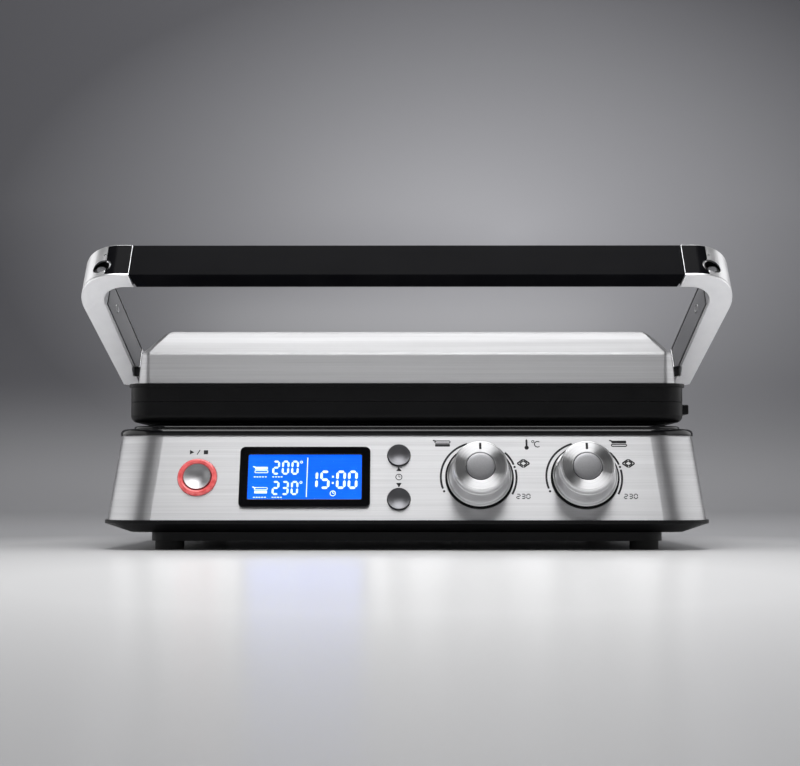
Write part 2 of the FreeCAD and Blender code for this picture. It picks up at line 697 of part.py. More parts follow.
def make_deck():
    """The gloss frame round the lower plate: an outer bead and a raised step under the lid."""
    body = new_body("deck_frame")
    half = half_steel - size.side_lean + size.deck_proud
    near = size.skirt_proud + panel_run - size.deck_proud
    far = size.base_depth - size.skirt_proud + size.deck_proud
    bead = rounded_plan(half, near, far, steel_radius, size.base_rear_radius)
    pad(body, "bead", bead, size.deck_bead, rise=size.panel_top)
    round_edges(body, "bead_round", size.deck_round, lies_at(deck_top))
    step = rounded_plan(half - size.step_inset, near + size.step_inset, size.step_rear,
                        steel_radius - size.step_inset, size.base_rear_radius)
    pad(body, "step", step, size.step_height, rise=deck_top)
    round_edges(body, "step_round", size.step_round, lies_at(step_top))
    opening = size.plate_gap + size.ledge_width
    across, along = size.plate_width / 2 + opening, size.plate_depth / 2 + opening
    centre = front_y + lid_centre
    block(body, "ledge", (across * 2, along * 2, size.ledge_drop),
          (-across, centre - along, size.panel_top - size.ledge_drop))
    across, along = size.plate_width / 2 + size.plate_gap, size.plate_depth / 2 + size.plate_gap
    bed = size.plate_bed - size.fit_gap
    block(body, "plate_bed", (across * 2, along * 2, step_top - bed + size.cut_over),
          (-across, centre - along, bed), cut=True)
    across, along = size.plate_width / 2 - size.ledge_width, size.plate_depth / 2 - size.ledge_width
    block(body, "plate_hole", (across * 2, along * 2, step_top),
          (-across, centre - along, size.panel_top - size.ledge_drop - size.cut_over), cut=True)
    gap = size.fit_gap
    for side in (-1, 1):
        low_x = tower_low_x(side) - gap
        block(body, "tower_hole", (size.tower_thickness + 2 * gap, size.tower_depth + 2 * gap, step_top),
              (low_x, front_y + size.hinge_y - size.tower_depth / 2 - gap,
               size.panel_top - size.cut_over), cut=True)


def tower_low_x(side):
    return size.tower_outside - size.tower_thickness if side > 0 else -size.tower_outside


def make_plate(label, underside, flip):
    """A ribbed cooking plate in its own frame, ribs up; the upper one hangs ribs down."""
    body = new_body(label)
    across, along = size.plate_width / 2, size.plate_depth / 2
    blank = size.plate_floor + size.rib_height
    block(body, "blank", (across * 2, along * 2, blank), (-across, -along, 0))
    inner_x, inner_y = across - size.plate_rim, along - size.plate_rim
    block(body, "floor", (inner_x * 2, inner_y * 2, blank), (-inner_x, -inner_y, size.plate_floor), cut=True)
    pitch = inner_x * 2 / (size.rib_count + 1)
    rib_reach = inner_y - size.plate_rim
    rib = block(body, "rib", (size.rib_width, rib_reach * 2, size.rib_height + size.plate_floor / 2),
                (-inner_x + pitch - size.rib_width / 2, -rib_reach, size.plate_floor / 2))
    doc.recompute()
    row = body.newObject("PartDesign::LinearPattern", f"{label}_ribs")
    row.Originals = [rib]
    row.Direction = (next(part for part in body.Origin.OriginFeatures if part.Role == "X_Axis"), [""])
    bind(row, "Length", pitch * (size.rib_count - 1))
    bind(row, "Occurrences", size.rib_count)
    body.Tip = row
    block(body, "drain", (size.drain_width, size.drain_depth, blank * 2),
          (-size.drain_width / 2, inner_y - size.drain_depth, -size.cut_over), cut=True)
    place(body, 0, front_y + lid_centre, underside, axis="y", turn=half_turn if flip else 0)


def make_heater(label, height):
    """A tubular heater in three runs joined by two bends, lying flat against its plate."""
    parts = []
    for number, run in enumerate((-1, 0, 1)):
        tube = doc.addObject("Part::Cylinder", f"{label}_run_{number}")
        bind(tube, "Radius", size.heater_radius)
        bind(tube, "Height", size.heater_span)
        place(tube, -size.heater_span / 2, front_y + lid_centre + run * size.heater_pitch, height,
              axis="y", turn=quarter_turn)
        parts.append(tube)
    for number, side in enumerate((-1, 1)):
        bend = doc.addObject("Part::Torus", f"{label}_bend_{number}")
        bind(bend, "Radius1", size.heater_pitch / 2)
        bind(bend, "Radius2", size.heater_radius)
        bend.Angle3 = 180
        place(bend, side * size.heater_span / 2, front_y + lid_centre + side * size.heater_pitch / 2,
              height, axis="z", turn=quarter_turn * -side)
        parts.append(bend)
    made = doc.addObject("Part::MultiFuse", label)
    made.Label = label
    made.Shapes = parts
    nodes.append(made)


def make_reflector(label, low, margin, open_up):
    """A thin pan that throws the heat towards its plate."""
    body = new_body(label)
    across = size.plate_width / 2 - margin
    along = size.plate_depth / 2 - margin
    block(body, "blank", (across * 2, along * 2, size.pan_depth), (-across, front_y + lid_centre - along, low))
    wall = size.pan_wall
    floor = low + wall if open_up else low - size.cut_over
    depth = size.pan_depth - wall + size.cut_over
    block(body, "hollow", ((across - wall) * 2, (along - wall) * 2, depth),
          (-across + wall, front_y + lid_centre - along + wall, floor), cut=True)


def make_underside():
    """Bottom cover, four rubber feet and the screws that hold them."""
    body = new_body("bottom_cover")
    plan = rounded_plan(size.plinth_width / 2, size.plinth_setback,
                        size.plinth_setback + size.plinth_depth, size.plinth_radius, size.plinth_radius)
    pad(body, "plate", plan, size.skirt_bottom - size.foot_height, rise=size.foot_height)
    corners = []
    for end, along in (("front", size.plinth_setback + size.foot_inset),
                       ("rear", size.plinth_setback + size.plinth_depth - size.foot_inset)):
        for hand, side in (("left", -1), ("right", 1)):
            x = side * (size.plinth_width / 2 - size.foot_inset)
            corners.append((f"foot_{end}_{hand}", x, front_y + along))
    for label, x, y in corners:
        rod(body, "screw_hole", size.foot_screw_radius + size.fit_gap, size.skirt_bottom,
            (x, y, size.foot_height - size.cut_over), cut=True)
    screws = []
    for label, x, y in corners:
        foot = new_body(label)
        rod(foot, "pad", size.foot_radius, size.foot_height, (x, y, 0))
        rod(foot, "sink", size.foot_head_radius + size.fit_gap, size.foot_head_height + size.cut_over,
            (x, y, -size.cut_over), cut=True)
        rod(foot, "hole", size.foot_screw_radius + size.fit_gap, size.foot_height, (x, y, 0), cut=True)
        screw = new_body(f"screw_of_{label}")
        rod(screw, "head", size.foot_head_radius, size.foot_head_height / 2,
            (x, y, size.foot_head_height / 2))
        rod(screw, "shank", size.foot_screw_radius, size.skirt_bottom - size.foot_head_height - size.fit_gap,
            (x, y, size.foot_head_height))
        screws.append(screw)
    group("bottom_screws", screws)


def make_display():
    """Bezel, clear lens and the display module behind the panel."""
    bezel = new_body("display_bezel")
    pad(bezel, "frame", rounded_tile(size.bezel_width, size.bezel_height, size.bezel_radius), size.bezel_proud)
    gap = size.fit_gap
    across, up = size.lens_width / 2 + gap, size.lens_height / 2 + gap
    block(bezel, "window", (across * 2, up * 2, size.bezel_proud * 3), (-across, -up, -size.bezel_proud), cut=True)
    place(bezel, *on_panel(size.display_u, control_row, 0), turn=panel_turn)
    lens = new_body("display_lens")
    top = size.bezel_proud - size.lens_sunk
    block(lens, "glass", (size.lens_width, size.lens_height, size.lens_thickness),
          (-size.lens_width / 2, -size.lens_height / 2, top - size.lens_thickness))
    place(lens, *on_panel(size.display_u, control_row, 0), turn=panel_turn)
    module = new_body("display_module")
    across = size.lens_width / 2 + size.module_margin
    up = size.lens_height / 2 + size.module_margin
    low = -size.board_setback + gap
    high = top - size.lens_thickness - gap
    block(module, "case", (across * 2, up * 2, high - low), (-across, -up, low))
    place(module, *on_panel(size.display_u, control_row, 0), turn=panel_turn)


def dome_section(radius, low, high, dome, hole=0):
    """Half the section of a button with a rounded rim, from low to high."""
    return [
        line_to(hole, low),
        line_to(radius, low),
        line_to(radius, high - dome),
        arc_left(radius - dome, high, dome),
        line_to(hole, high),
    ]


def make_buttons():
    """Start button in its light ring, and the two timer buttons."""
    collar_top = -size.fascia_wall - size.slide_gap
    ring = new_body("start_ring")
    bore = size.start_radius + size.slide_gap
    turned(ring, dome_section(size.start_ring_radius, collar_top - size.collar_height, size.button_proud,
                              size.button_dome, bore))
    rod(ring, "collar", size.start_ring_radius + size.button_flange, size.collar_height,
        (0, 0, collar_top - size.collar_height))
    rod(ring, "bore", bore, size.cut_over * 2, (0, 0, -size.cut_over), cut=True)
    place(ring, *on_panel(size.start_u, control_row, 0), turn=panel_turn)
    bottom = -size.board_setback + size.button_travel + size.slide_gap
    start = new_body("start_button")
    turned(start, dome_section(size.start_radius, bottom, size.button_proud + size.button_dome / 2,
                               size.button_dome))
    flange_top = collar_top - size.collar_height - size.slide_gap
    rod(start, "flange", size.start_radius + size.button_flange, flange_top - bottom, (0, 0, bottom))
    place(start, *on_panel(size.start_u, control_row, 0), turn=panel_turn)
    for label, side in (("timer_up_button", 1), ("timer_down_button", -1)):
        body = new_body(label)
        turned(body, dome_section(size.timer_radius, bottom, size.button_proud, size.button_dome))
        rod(body, "flange", size.timer_radius + size.button_flange, collar_top - bottom, (0, 0, bottom))
        place(body, *on_panel(size.timer_u, control_row + side * size.timer_split, 0), turn=panel_turn)


def make_dial(hand, u):
    """One dial: bezel, encoder, shaft, the turned knob and the push button in its middle."""
    spot = on_panel(u, control_row, 0)
    bezel = new_body(f"dial_bezel_{hand}")
    turned(bezel, dome_section(size.dial_bezel_radius, 0, size.dial_bezel_height,
                               size.dial_bezel_height / 2, size.dial_shaft_radius + size.slide_gap))
    place(bezel, *spot, turn=panel_turn)
    encoder = new_body(f"encoder_{hand}")
    half = size.encoder_size / 2
    low = -size.board_setback
    high = -size.fascia_wall - size.fit_gap
    block(encoder, "case", (half * 2, half * 2, high - low), (-half, -half, low))
    hole = size.dial_shaft_radius + size.shaft_gap
    rod(encoder, "bore", hole, size.cut_over * 2, (0, 0, low + size.board_thickness), cut=True)
    place(encoder, *spot, turn=panel_turn)
    shaft = new_body(f"dial_shaft_{hand}")
    foot = low + size.board_thickness + size.slide_gap
    rod(shaft, "spindle", size.dial_shaft_radius, size.dial_shaft_height - foot, (0, 0, foot))
    place(shaft, *spot, turn=panel_turn)
    knob = new_body(f"dial_{hand}")
    base = size.dial_bezel_height + size.dial_lift
    top = size.knob_height
    sink = top + size.centre_proud - size.centre_depth - size.button_travel - size.slide_gap
    recess = size.centre_radius + size.slide_gap
    turned(knob, [
        line_to(0, base),
        line_to(size.knob_radius, base),
        line_to(size.knob_radius, base + size.knob_neck / 2),
        line_to(size.knob_front_radius + size.knob_edge, base + size.knob_neck),
        line_to(size.knob_front_radius, top - size.knob_edge),
        line_to(size.knob_front_radius - size.knob_edge, top),
        line_to(recess, top),
        line_to(recess, sink),
        line_to(0, sink),
    ])
    rod(knob, "bore", hole, size.dial_shaft_height + size.fit_gap, (0, 0, 0), cut=True)
    place(knob, *spot, turn=panel_turn)
    centre = new_body(f"dial_centre_{hand}")
    turned(centre, dome_section(size.centre_radius, top + size.centre_proud - size.centre_depth,
                                top + size.centre_proud, size.button_dome))
    place(centre, *spot, turn=panel_turn)


def make_electronics():
    """Carrier and board behind the panel, and the power board on the tub's posts."""
    carrier = new_body("control_carrier")
    seat = -size.fascia_wall - size.fit_gap - size.tub_wall - size.fit_gap
    low = -size.board_setback + size.fit_gap
    block(carrier, "frame", (size.board_width, size.board_height, seat - low),
          (-size.board_width / 2, -size.board_height / 2, low))
    block(carrier, "opening", (size.bay_width, size.bay_height, size.cut_over * 3),
          (-size.bay_width / 2, -size.bay_height / 2, low - size.cut_over), cut=True)
    place(carrier, *on_panel(0, control_row, 0), turn=panel_turn)
    board = new_body("control_board")
    block(board, "sheet", (size.board_width, size.board_height, size.board_thickness),
          (-size.board_width / 2, -size.board_height / 2, -size.board_setback - size.board_thickness))
    place(board, *on_panel(0, control_row, 0), turn=panel_turn)
    power = new_body("power_board")
    level = tub_inside + size.power_post
    across, along = size.power_width / 2, size.power_depth / 2
    near = front_y + size.power_y - along
    block(power, "sheet", (across * 2, along * 2, size.board_thickness), (size.power_x - across, near, level))
    block(power, "relay", (across, along, size.power_part_height), (size.power_x - across / 2, near + along / 2, level))


def make_rear():
    """Cord gland in the rear wall and the drip tray that slides out below it."""
    gland = new_body("cord_gland")
    turned(gland, [
        line_to(size.gland_bore, 0),
        line_to(size.gland_flange_radius, 0),
        line_to(size.gland_flange_radius, size.gland_flange + size.skirt_proud - size.fit_gap),
        line_to(size.gland_radius, size.gland_flange + size.skirt_proud - size.fit_gap),
        line_to(size.gland_radius, size.gland_length),
        line_to(size.gland_bore, size.gland_length),
    ])
    place(gland, size.gland_x, front_y + size.base_depth + size.gland_flange, size.gland_z, turn=quarter_turn)
    tray = new_body("drip_tray")
    half = size.tray_width / 2
    rear = front_y + size.base_depth - size.skirt_proud
    near = rear - size.tray_depth
    low = tub_inside + size.slide_gap
    block(tray, "blank", (half * 2, size.tray_depth, size.tray_height), (-half, near, low))
    wall = size.tray_wall
    block(tray, "hollow", ((half - wall) * 2, size.tray_depth - 2 * wall, size.tray_height),
          (-half + wall, near + wall, low + wall), cut=True)
    pull = size.tray_pull_width / 2
    block(tray, "pull", (pull * 2, size.skirt_proud, size.tray_pull), (-pull, rear, low))


def make_towers():
    """Hinge towers on the deck, with slots in which the hinge floats upwards."""
    for hand, side in (("left", -1), ("right", 1)):
        tower = new_body(f"hinge_tower_{hand}")
        low_x = tower_low_x(side)
        near = front_y + size.hinge_y - size.tower_depth / 2
        foot = size.panel_top - size.tower_root
        slot_low = size.hinge_z - size.slider_height / 2 - size.slide_gap
        slot_high = size.hinge_z + size.slider_height / 2 + size.hinge_rise + size.slide_gap
        block(tower, "post", (size.tower_thickness, size.tower_depth, slot_high + size.tower_cap - foot),
              (low_x, near, foot))
        width = size.slider_depth + 2 * size.slide_gap
        block(tower, "slot", (size.tower_thickness + 2 * size.cut_over, width, slot_high - slot_low),
              (low_x - size.cut_over, front_y + size.hinge_y - width / 2, slot_low), cut=True)
        block(tower, "foot", (size.tower_thickness, size.base_depth - size.hinge_y - size.tower_depth / 2
                              - size.skirt_proud - size.fascia_wall - size.tub_wall - 2 * size.fit_gap,
                              size.tower_root - size.fit_gap),
              (low_x, near + size.tower_depth, foot))
        slider = new_body(f"hinge_slider_{hand}")
        block(slider, "block", (size.tower_thickness, size.slider_depth, size.slider_height),
              (low_x, front_y + size.hinge_y - size.slider_depth / 2, size.hinge_z - size.slider_height / 2))
        rod(slider, "bore", size.shaft_radius + size.shaft_gap, size.tower_thickness + 2 * size.cut_over,
            (low_x - size.cut_over, front_y + size.hinge_y, size.hinge_z), cut=True, axis="y", turn=quarter_turn)


def make_shaft():
    """The shaft that carries both hinge arms, and the caps on its ends."""
    shaft = new_body("hinge_shaft")
    reach = size.arm_inside + size.arm_thickness + size.slide_gap
    rod(shaft, "bar", size.shaft_radius, reach * 2, (-reach, front_y + size.hinge_y, size.hinge_z),
        axis="y", turn=quarter_turn)
    caps = []
    for hand, low_x in (("left", -reach - size.shaft_cap_height), ("right", reach)):
        cap = new_body(f"shaft_cap_{hand}")
        rod(cap, "disc", size.shaft_cap_radius, size.shaft_cap_height,
            (low_x, front_y + size.hinge_y, size.hinge_z), axis="y", turn=quarter_turn)
        caps.append(cap)
    group("shaft_caps", caps)


def cover_plan(rise_share, slope_share, inset):
    """The lid cover's plan part way up its wall and its slope, drawn in by an inset."""
    draw_in = size.cover_lean * rise_share + size.cover_shoulder * slope_share + inset
    radius = size.cover_radius - inset
    near = size.lid_front + size.cover_inset + draw_in
    return rounded_plan(size.cover_width / 2 - draw_in, near,
                        lid_end - size.cover_inset - draw_in, radius, radius)


def make_cover():
    """The pressed steel cover: upright walls, a crease and a slope up to a flat top."""
    body = new_body("lid_cover")
    wall = size.cover_wall
    foot, crease, top = size.lid_shell_top, size.cover_crease, size.cover_top
    loft(body, "wall", cover_plan(0, 0, as_size(0)), foot, cover_plan(1, 0, as_size(0)), crease)
    loft(body, "slope", cover_plan(1, 0, as_size(0)), crease, cover_plan(1, 1, as_size(0)), top)
    round_edges(body, "top_round", size.cover_round, lies_at(top))
    round_edges(body, "crease_round", size.crease_round, lies_at(crease))
    loft(body, "inner_wall", cover_plan(0, 0, wall), foot, cover_plan(1, 0, wall), crease - wall, cut=True)
    loft(body, "inner_slope", cover_plan(1, 0, wall), crease - wall,
         cover_plan(1, 1, wall * 2), top - wall, cut=True)
    for x, y, z in spacer_spots():
        rod(body, "screw_hole", size.arm_screw_radius + size.fit_gap, size.cover_wall * 2 + size.cut_over,
            (x - size.cover_wall - size.cut_over / 2, y, z), cut=True, axis="y", turn=quarter_turn)


def spacer_spots():
    """Where the spacers meet the cover's sides: outer skin, along, height."""
    height = size.lid_shell_top + size.cover_wall_rise * size.spacer_share
    skin = size.cover_width / 2 - size.cover_lean * size.spacer_share
    return [(side * skin, front_y + along, height)
            for side in (-1, 1) for along in (size.spacer_front_y, size.spacer_rear_y)]


def make_shell():
    """The black shell under the cover: lip, wall, a web that closes it, and lugs for the arm screws."""
    body = new_body("lid_shell")
    rear = lid_end
    proud = size.lip_proud
    lip = rounded_plan(size.lid_width / 2, size.lid_front, rear, size.lid_radius, size.lid_radius)
    wall = rounded_plan(half_shell, size.lid_front + proud, rear - proud,
                        size.lid_radius - proud, size.lid_radius - proud)
    inset = proud + size.shell_wall
    hollow = rounded_plan(size.lid_width / 2 - inset, size.lid_front + inset, rear - inset,
                          size.lid_radius - inset, size.lid_radius - inset)
    pad(body, "wall", wall, size.lid_shell_top - size.lid_seam - size.lip_height, rise=size.lid_seam)
    pad(body, "lip", lip, size.lip_height, rise=size.lid_shell_top - size.lip_height)
    pad(body, "hollow", hollow, size.lid_shell_top - size.shell_wall - size.lid_seam,
        rise=size.lid_seam, cut=True, back=True)
    lug_height = size.cover_wall_rise - 2 * size.cover_wall
    for x, y, z in spacer_spots():
        inner = size.cover_wall + size.slide_gap + size.cover_lean
        low_x = x - inner - size.lug_thickness if x.number > 0 else x + inner
        block(body, "lug", (size.lug_thickness, size.lug_width, lug_height),
              (low_x, y - size.lug_width / 2, size.lid_shell_top))
        depth = size.arm_screw_grip + size.cover_lean + size.cut_over
        hole_x = x - depth if x.number > 0 else x
        rod(body, "lug_hole", size.arm_screw_radius + size.fit_gap, depth, (hole_x, y, z),
            cut=True, axis="y", turn=quarter_turn)


def make_surround():
    """The black surround that carries the upper plate, with the slot for its latch."""
    body = new_body("plate_surround")
    rear = lid_end - size.lip_proud
    radius = size.lid_radius - size.lip_proud
    plan = rounded_plan(half_shell, size.lid_front + size.lip_proud, rear, radius, radius)
    pad(body, "ring", plan, size.lid_seam - size.fit_gap - size.lid_bottom, rise=size.lid_bottom)
    round_edges(body, "low_round", size.surround_round, lies_at(size.lid_bottom))
    centre = front_y + lid_centre
    across, along = size.plate_width / 2 + size.plate_gap, size.plate_depth / 2 + size.plate_gap
    bed = upper_plate_bottom + size.rib_height + size.plate_floor + size.fit_gap
    block(body, "plate_bed", (across * 2, along * 2, bed - size.lid_bottom + size.cut_over),
          (-across, centre - along, size.lid_bottom - size.cut_over), cut=True)
    across, along = size.plate_width / 2 - size.ledge_width, size.plate_depth / 2 - size.ledge_width
    block(body, "plate_hole", (across * 2, along * 2, size.lid_seam),
          (-across, centre - along, size.lid_bottom), cut=True)
    gap = size.slide_gap
    block(body, "latch_slot", (size.cut_over * 4, size.latch_width + 2 * gap, size.latch_height + size.cut_over),
          (half_shell - size.cut_over * 2, front_y + size.latch_upper_y - size.latch_width / 2 - gap,
           latch_upper_z - gap), cut=True)


def make_latches():
    """Push latches that free the plates: the upper one on the lid, the lower one on the base."""
    upper = new_body("upper_latch")
    inner = size.plate_width / 2 + size.plate_gap + size.latch_travel + size.slide_gap
    block(upper, "button", (half_shell + size.latch_proud - inner, size.latch_width, size.latch_height),
          (inner, front_y + size.latch_upper_y - size.latch_width / 2, latch_upper_z))
    lower = new_body("lower_latch")
    inner = size.plate_width / 2 + size.plate_gap + size.latch_travel + size.slide_gap
    reach = half_steel - size.side_lean * (size.panel_rise - size.latch_drop) / size.panel_rise
    block(lower, "button", (reach + size.latch_lower_proud - inner, size.latch_width, size.latch_height),
          (inner, front_y + size.latch_lower_y - size.latch_width / 2, size.latch_lower_z))


def make_hinge_arms():
    """Flat steel arms from the handle's feet along the lid to the hinge shaft."""
    low = size.arm_front_bottom
    high = low + size.arm_front_height
    front = front_y + size.handle_y + size.swing_gap
    taper = front_y + size.arm_taper_y
    eye_y, eye_z, eye = front_y + size.hinge_y, size.hinge_z, size.arm_eye_radius
    for hand, side in (("left", -1), ("right", 1)):
        body = new_body(f"hinge_arm_{hand}")
        path = [
            line_to(front, low),
            line_to(taper, low),
            line_to(taper + size.arm_rear_height, high - size.arm_rear_height),
            line_to(eye_y - eye, eye_z),
            arc_left(eye_y, eye_z - eye, eye),
            arc_left(eye_y + eye, eye_z, eye),
            arc_left(eye_y, eye_z + eye, eye),
            line_to(front_y + size.arm_drop_y, high),
            line_to(front, high),
        ]
        low_x = size.arm_inside if side > 0 else -size.arm_inside - size.arm_thickness
        pad(body, "plate", path, size.arm_thickness, rise=low_x, plane="YZ_Plane")
        rod(body, "eye", size.shaft_radius + size.shaft_gap, size.arm_thickness + 2 * size.cut_over,
            (low_x - size.cut_over, eye_y, eye_z), cut=True, axis="y", turn=quarter_turn)
        for x, y, z in spacer_spots():
            if x.number * side > 0:
                rod(body, "screw_hole", size.arm_screw_radius + size.fit_gap,
                    size.arm_thickness + 2 * size.cut_over, (low_x - size.cut_over, y, z),
                    cut=True, axis="y", turn=quarter_turn)


def make_spacers():
    """Spacers that hold the cover's sides off the hinge arms, and the screws through them."""
    spacers, screws = [], []
    for number, (x, y, z) in enumerate(spacer_spots()):
        side = 1 if x.number > 0 else -1
        skin = x + side * size.cover_lean / 2
        seat = side * (size.arm_inside - size.fit_gap)
        spacer = new_body(f"arm_spacer_{number}")
        low_x, length = (skin, seat - skin) if side > 0 else (seat, skin - seat)
        rod(spacer, "tube", size.spacer_radius, length, (low_x, y, z), axis="y", turn=quarter_turn)
        rod(spacer, "bore", size.arm_screw_radius + size.fit_gap, length + 2 * size.cut_over,
            (low_x - size.cut_over, y, z), cut=True, axis="y", turn=quarter_turn)
        spacers.append(spacer)
        screw = new_body(f"arm_screw_{number}")
        outer = side * (size.arm_inside + size.arm_thickness + size.fit_gap)
        inner = x - side * size.arm_screw_grip
        low_x, length = (inner, outer - inner) if side > 0 else (outer, inner - outer)
        rod(screw, "shank", size.arm_screw_radius, length, (low_x, y, z), axis="y", turn=quarter_turn)
        head = size.arm_screw_radius
        low_x = outer if side > 0 else outer - head
        rod(screw, "head", size.arm_screw_head, head, (low_x, y, z), axis="y", turn=quarter_turn)
        screws.append(screw)
    group("arm_spacers", spacers)
    group("arm_screws", screws)


def handle_frame(item):
    """Set an item into the handle's leaning plane: up its own Z, band to the back along Y."""
    place(item, 0, front_y + size.handle_y, size.handle_z, turn=size.handle_tilt)


def flat_cut(body, name, low_x, width, low_z, height):
    """Cut a level slot out of a leaning body, at heights above the handle's foot."""
    lean = size.handle_tilt
    long = size.handle_band * 8
    y, z = -long / 2, low_z
    corner_y = y * cosine(lean) + z * sine(lean)
    corner_z = z * cosine(lean) - y * sine(lean)
    block(body, name, (width, long, height), (low_x, corner_y, corner_z), cut=True, turn=-lean)


def make_handle_arm(hand, side):
    """One cast arm with its corner, the liner on its inside and the inlay in its corner."""
    lean_out, lean_in = size.arm_outside_tilt, size.arm_inside_tilt
    spread = tangent(lean_in)
    top, low_bar = size.handle_length, size.handle_length - size.bar_band
    run_out = size.corner_outside * tangent((quarter_turn + lean_out) / 2)
    run_in = size.corner_inside * tangent((quarter_turn + lean_in) / 2)
    outer = size.handle_foot_half
    inner = size.handle_foot_half - size.arm_band
    foot = -size.handle_band * 2
    peak_out, peak_in = outer + top * tangent(lean_out), inner + low_bar * spread
    bend_foot = low_bar - run_in * cosine(lean_in)
    path = [
        line_to(size.bar_half, low_bar),
        line_to(peak_in - run_in, low_bar),
        arc_right(peak_in - run_in * sine(lean_in), bend_foot, size.corner_inside),
        line_to(inner, 0),
        line_to(inner, foot),
        line_to(outer, foot),
        line_to(outer, 0),
        line_to(peak_out - run_out * sine(lean_out), top - run_out * cosine(lean_out)),
        arc_left(peak_out - run_out, top, size.corner_outside),
        line_to(size.bar_half, top),
    ]
    body = new_body(f"handle_arm_{hand}")
    pad(body, "band", mirrored(path, side), size.handle_band, plane="XZ_Plane", back=True)
    wide = size.handle_foot_half
    flat_cut(body, "foot_cut", 0 if side > 0 else -wide * 2, wide * 2, foot * 2, -foot * 2)
    slot_low = size.arm_front_bottom - size.handle_z - size.fit_gap
    slot_out = size.arm_inside + size.arm_thickness + size.fit_gap
    flat_cut(body, "arm_slot", 0 if side > 0 else -slot_out, slot_out,
             slot_low, size.arm_front_height + 2 * size.fit_gap)

    def liner_path(depth, gap):
        low, high = size.liner_low + gap, bend_foot - size.liner_top_gap - gap
        over = size.cut_over if gap.number == 0 else as_size(0)
        return [
            line_to(inner + low * spread - over, low),
            line_to(inner + low * spread + depth, low),
            line_to(inner + high * spread + depth, high),
            line_to(inner + high * spread - over, high),
        ]

    edge = size.liner_edge
    pad(body, "liner_bed", mirrored(liner_path(size.liner_thickness, as_size(0)), side),
        size.handle_band - 2 * edge, rise=-edge, plane="XZ_Plane", cut=True)
    gap = size.fit_gap
    liner = new_body(f"arm_liner_{hand}")
    pad(liner, "strip", mirrored(liner_path(size.liner_thickness - gap, gap), side),
        size.handle_band - 2 * (edge + gap), rise=-(edge + gap), plane="XZ_Plane", back=True)

    def inlay_path(low_x, sweep, over):
        centre_x, centre_z = peak_out - run_out, top - size.corner_outside
        high, low = size.corner_outside + over, size.corner_outside - size.inlay_depth
        return [
            line_to(low_x, centre_z + low),
            line_to(low_x, centre_z + high),
            line_to(centre_x, centre_z + high),
            arc_right(centre_x + high * sine(sweep), centre_z + high * cosine(sweep), high),
            line_to(centre_x + low * sine(sweep), centre_z + low * cosine(sweep)),
            arc_left(centre_x, centre_z + low, low),
        ]

    inlay_low = size.bar_half + size.inlay_edge
    pad(body, "inlay_bed", mirrored(inlay_path(inlay_low, size.inlay_angle, size.cut_over), side),
        size.handle_band - 2 * edge, rise=-edge, plane="XZ_Plane", cut=True)
    inlay = new_body(f"corner_inlay_{hand}")
    inlay_end = size.inlay_angle - size.inlay_play_angle
    pad(inlay, "tile", mirrored(inlay_path(inlay_low + gap, inlay_end, as_size(0)), side),
        size.handle_band - 2 * (edge + gap), rise=-(edge + gap), plane="XZ_Plane", back=True)
    pocket_x = side * (size.bar_half + size.pocket_reach)
    pocket_y = size.handle_band * size.pocket_back_share
    rod(body, "pocket", size.pocket_radius, size.pocket_depth + size.cut_over,
        (pocket_x, pocket_y, top - size.pocket_depth), cut=True)
    screw = new_body(f"corner_screw_{hand}")
    rod(screw, "head", size.corner_screw_radius, size.corner_screw_height,
        (pocket_x, pocket_y, top - size.pocket_depth + size.fit_gap / 2))
    for piece in (body, liner, inlay, screw):
        handle_frame(piece)
    return screw


def make_handle():
    """Both cast arms and the grip bar between them."""
    screws = [make_handle_arm(hand, side) for hand, side in (("left", -1), ("right", 1))]
    group("corner_screws", screws)
    bar = new_body("grip_bar")
    half = size.bar_half - size.fit_gap
    block(bar, "bar", (half * 2, size.handle_band, size.bar_band),
          (-half, 0, size.handle_length - size.bar_band))
    round_edges(bar, "bar_round", size.band_round, lambda edge: edge.BoundBox.XLength > size.bar_half.number)
    handle_frame(bar)


make_tub()
make_fascia()
make_deck()
make_plate("lower_plate", size.plate_bed, False)
make_heater("lower_heater", size.plate_bed - size.heater_radius - size.fit_gap)
make_reflector("lower_reflector", size.panel_top - size.ledge_drop - size.pan_depth,
               size.ledge_width / 2, True)
make_underside()
make_display()
make_buttons()
make_dial("left", size.dial_left_u)
make_dial("right", size.dial_right_u)
make_electronics()
make_rear()
make_towers()
make_shaft()
make_cover()
make_shell()
make_surround()
upper_back = upper_plate_bottom + size.rib_height + size.plate_floor
make_plate("upper_plate", upper_back, True)
make_heater("upper_heater", upper_back + size.heater_radius + size.fit_gap)
make_reflector("upper_reflector", upper_back + size.fit_gap, size.pan_margin, False)
make_latches()
make_hinge_arms()
make_spacers()
make_handle()
doc.recompute()

faults = [item.Label for item in doc.Objects if {"Invalid", "Error"} & set(item.State)]
faults += [node.Label for node in nodes if node.Shape.isNull() or not node.Shape.isValid()]
if faults:
    raise RuntimeError("not built: " + ", ".join(faults))
os.makedirs("parts", exist_ok=True)
for node in nodes:
    node.Shape.exportStep(f"parts/{node.Label}.step")
print(len(nodes), "pieces written")
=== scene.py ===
# %% [markdown]
# A contact grill stands closed on a pale studio floor. Its solids were made in CAD and packed into one
# frame, in metres. This lesson dresses that frame: it gives every solid a finish, rebuilds the pieces
# whose edges and details are seen close up, and sets the camera and the light.

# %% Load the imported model
import json
import math

import bmesh
import bpy
from mathutils import Matrix, Vector


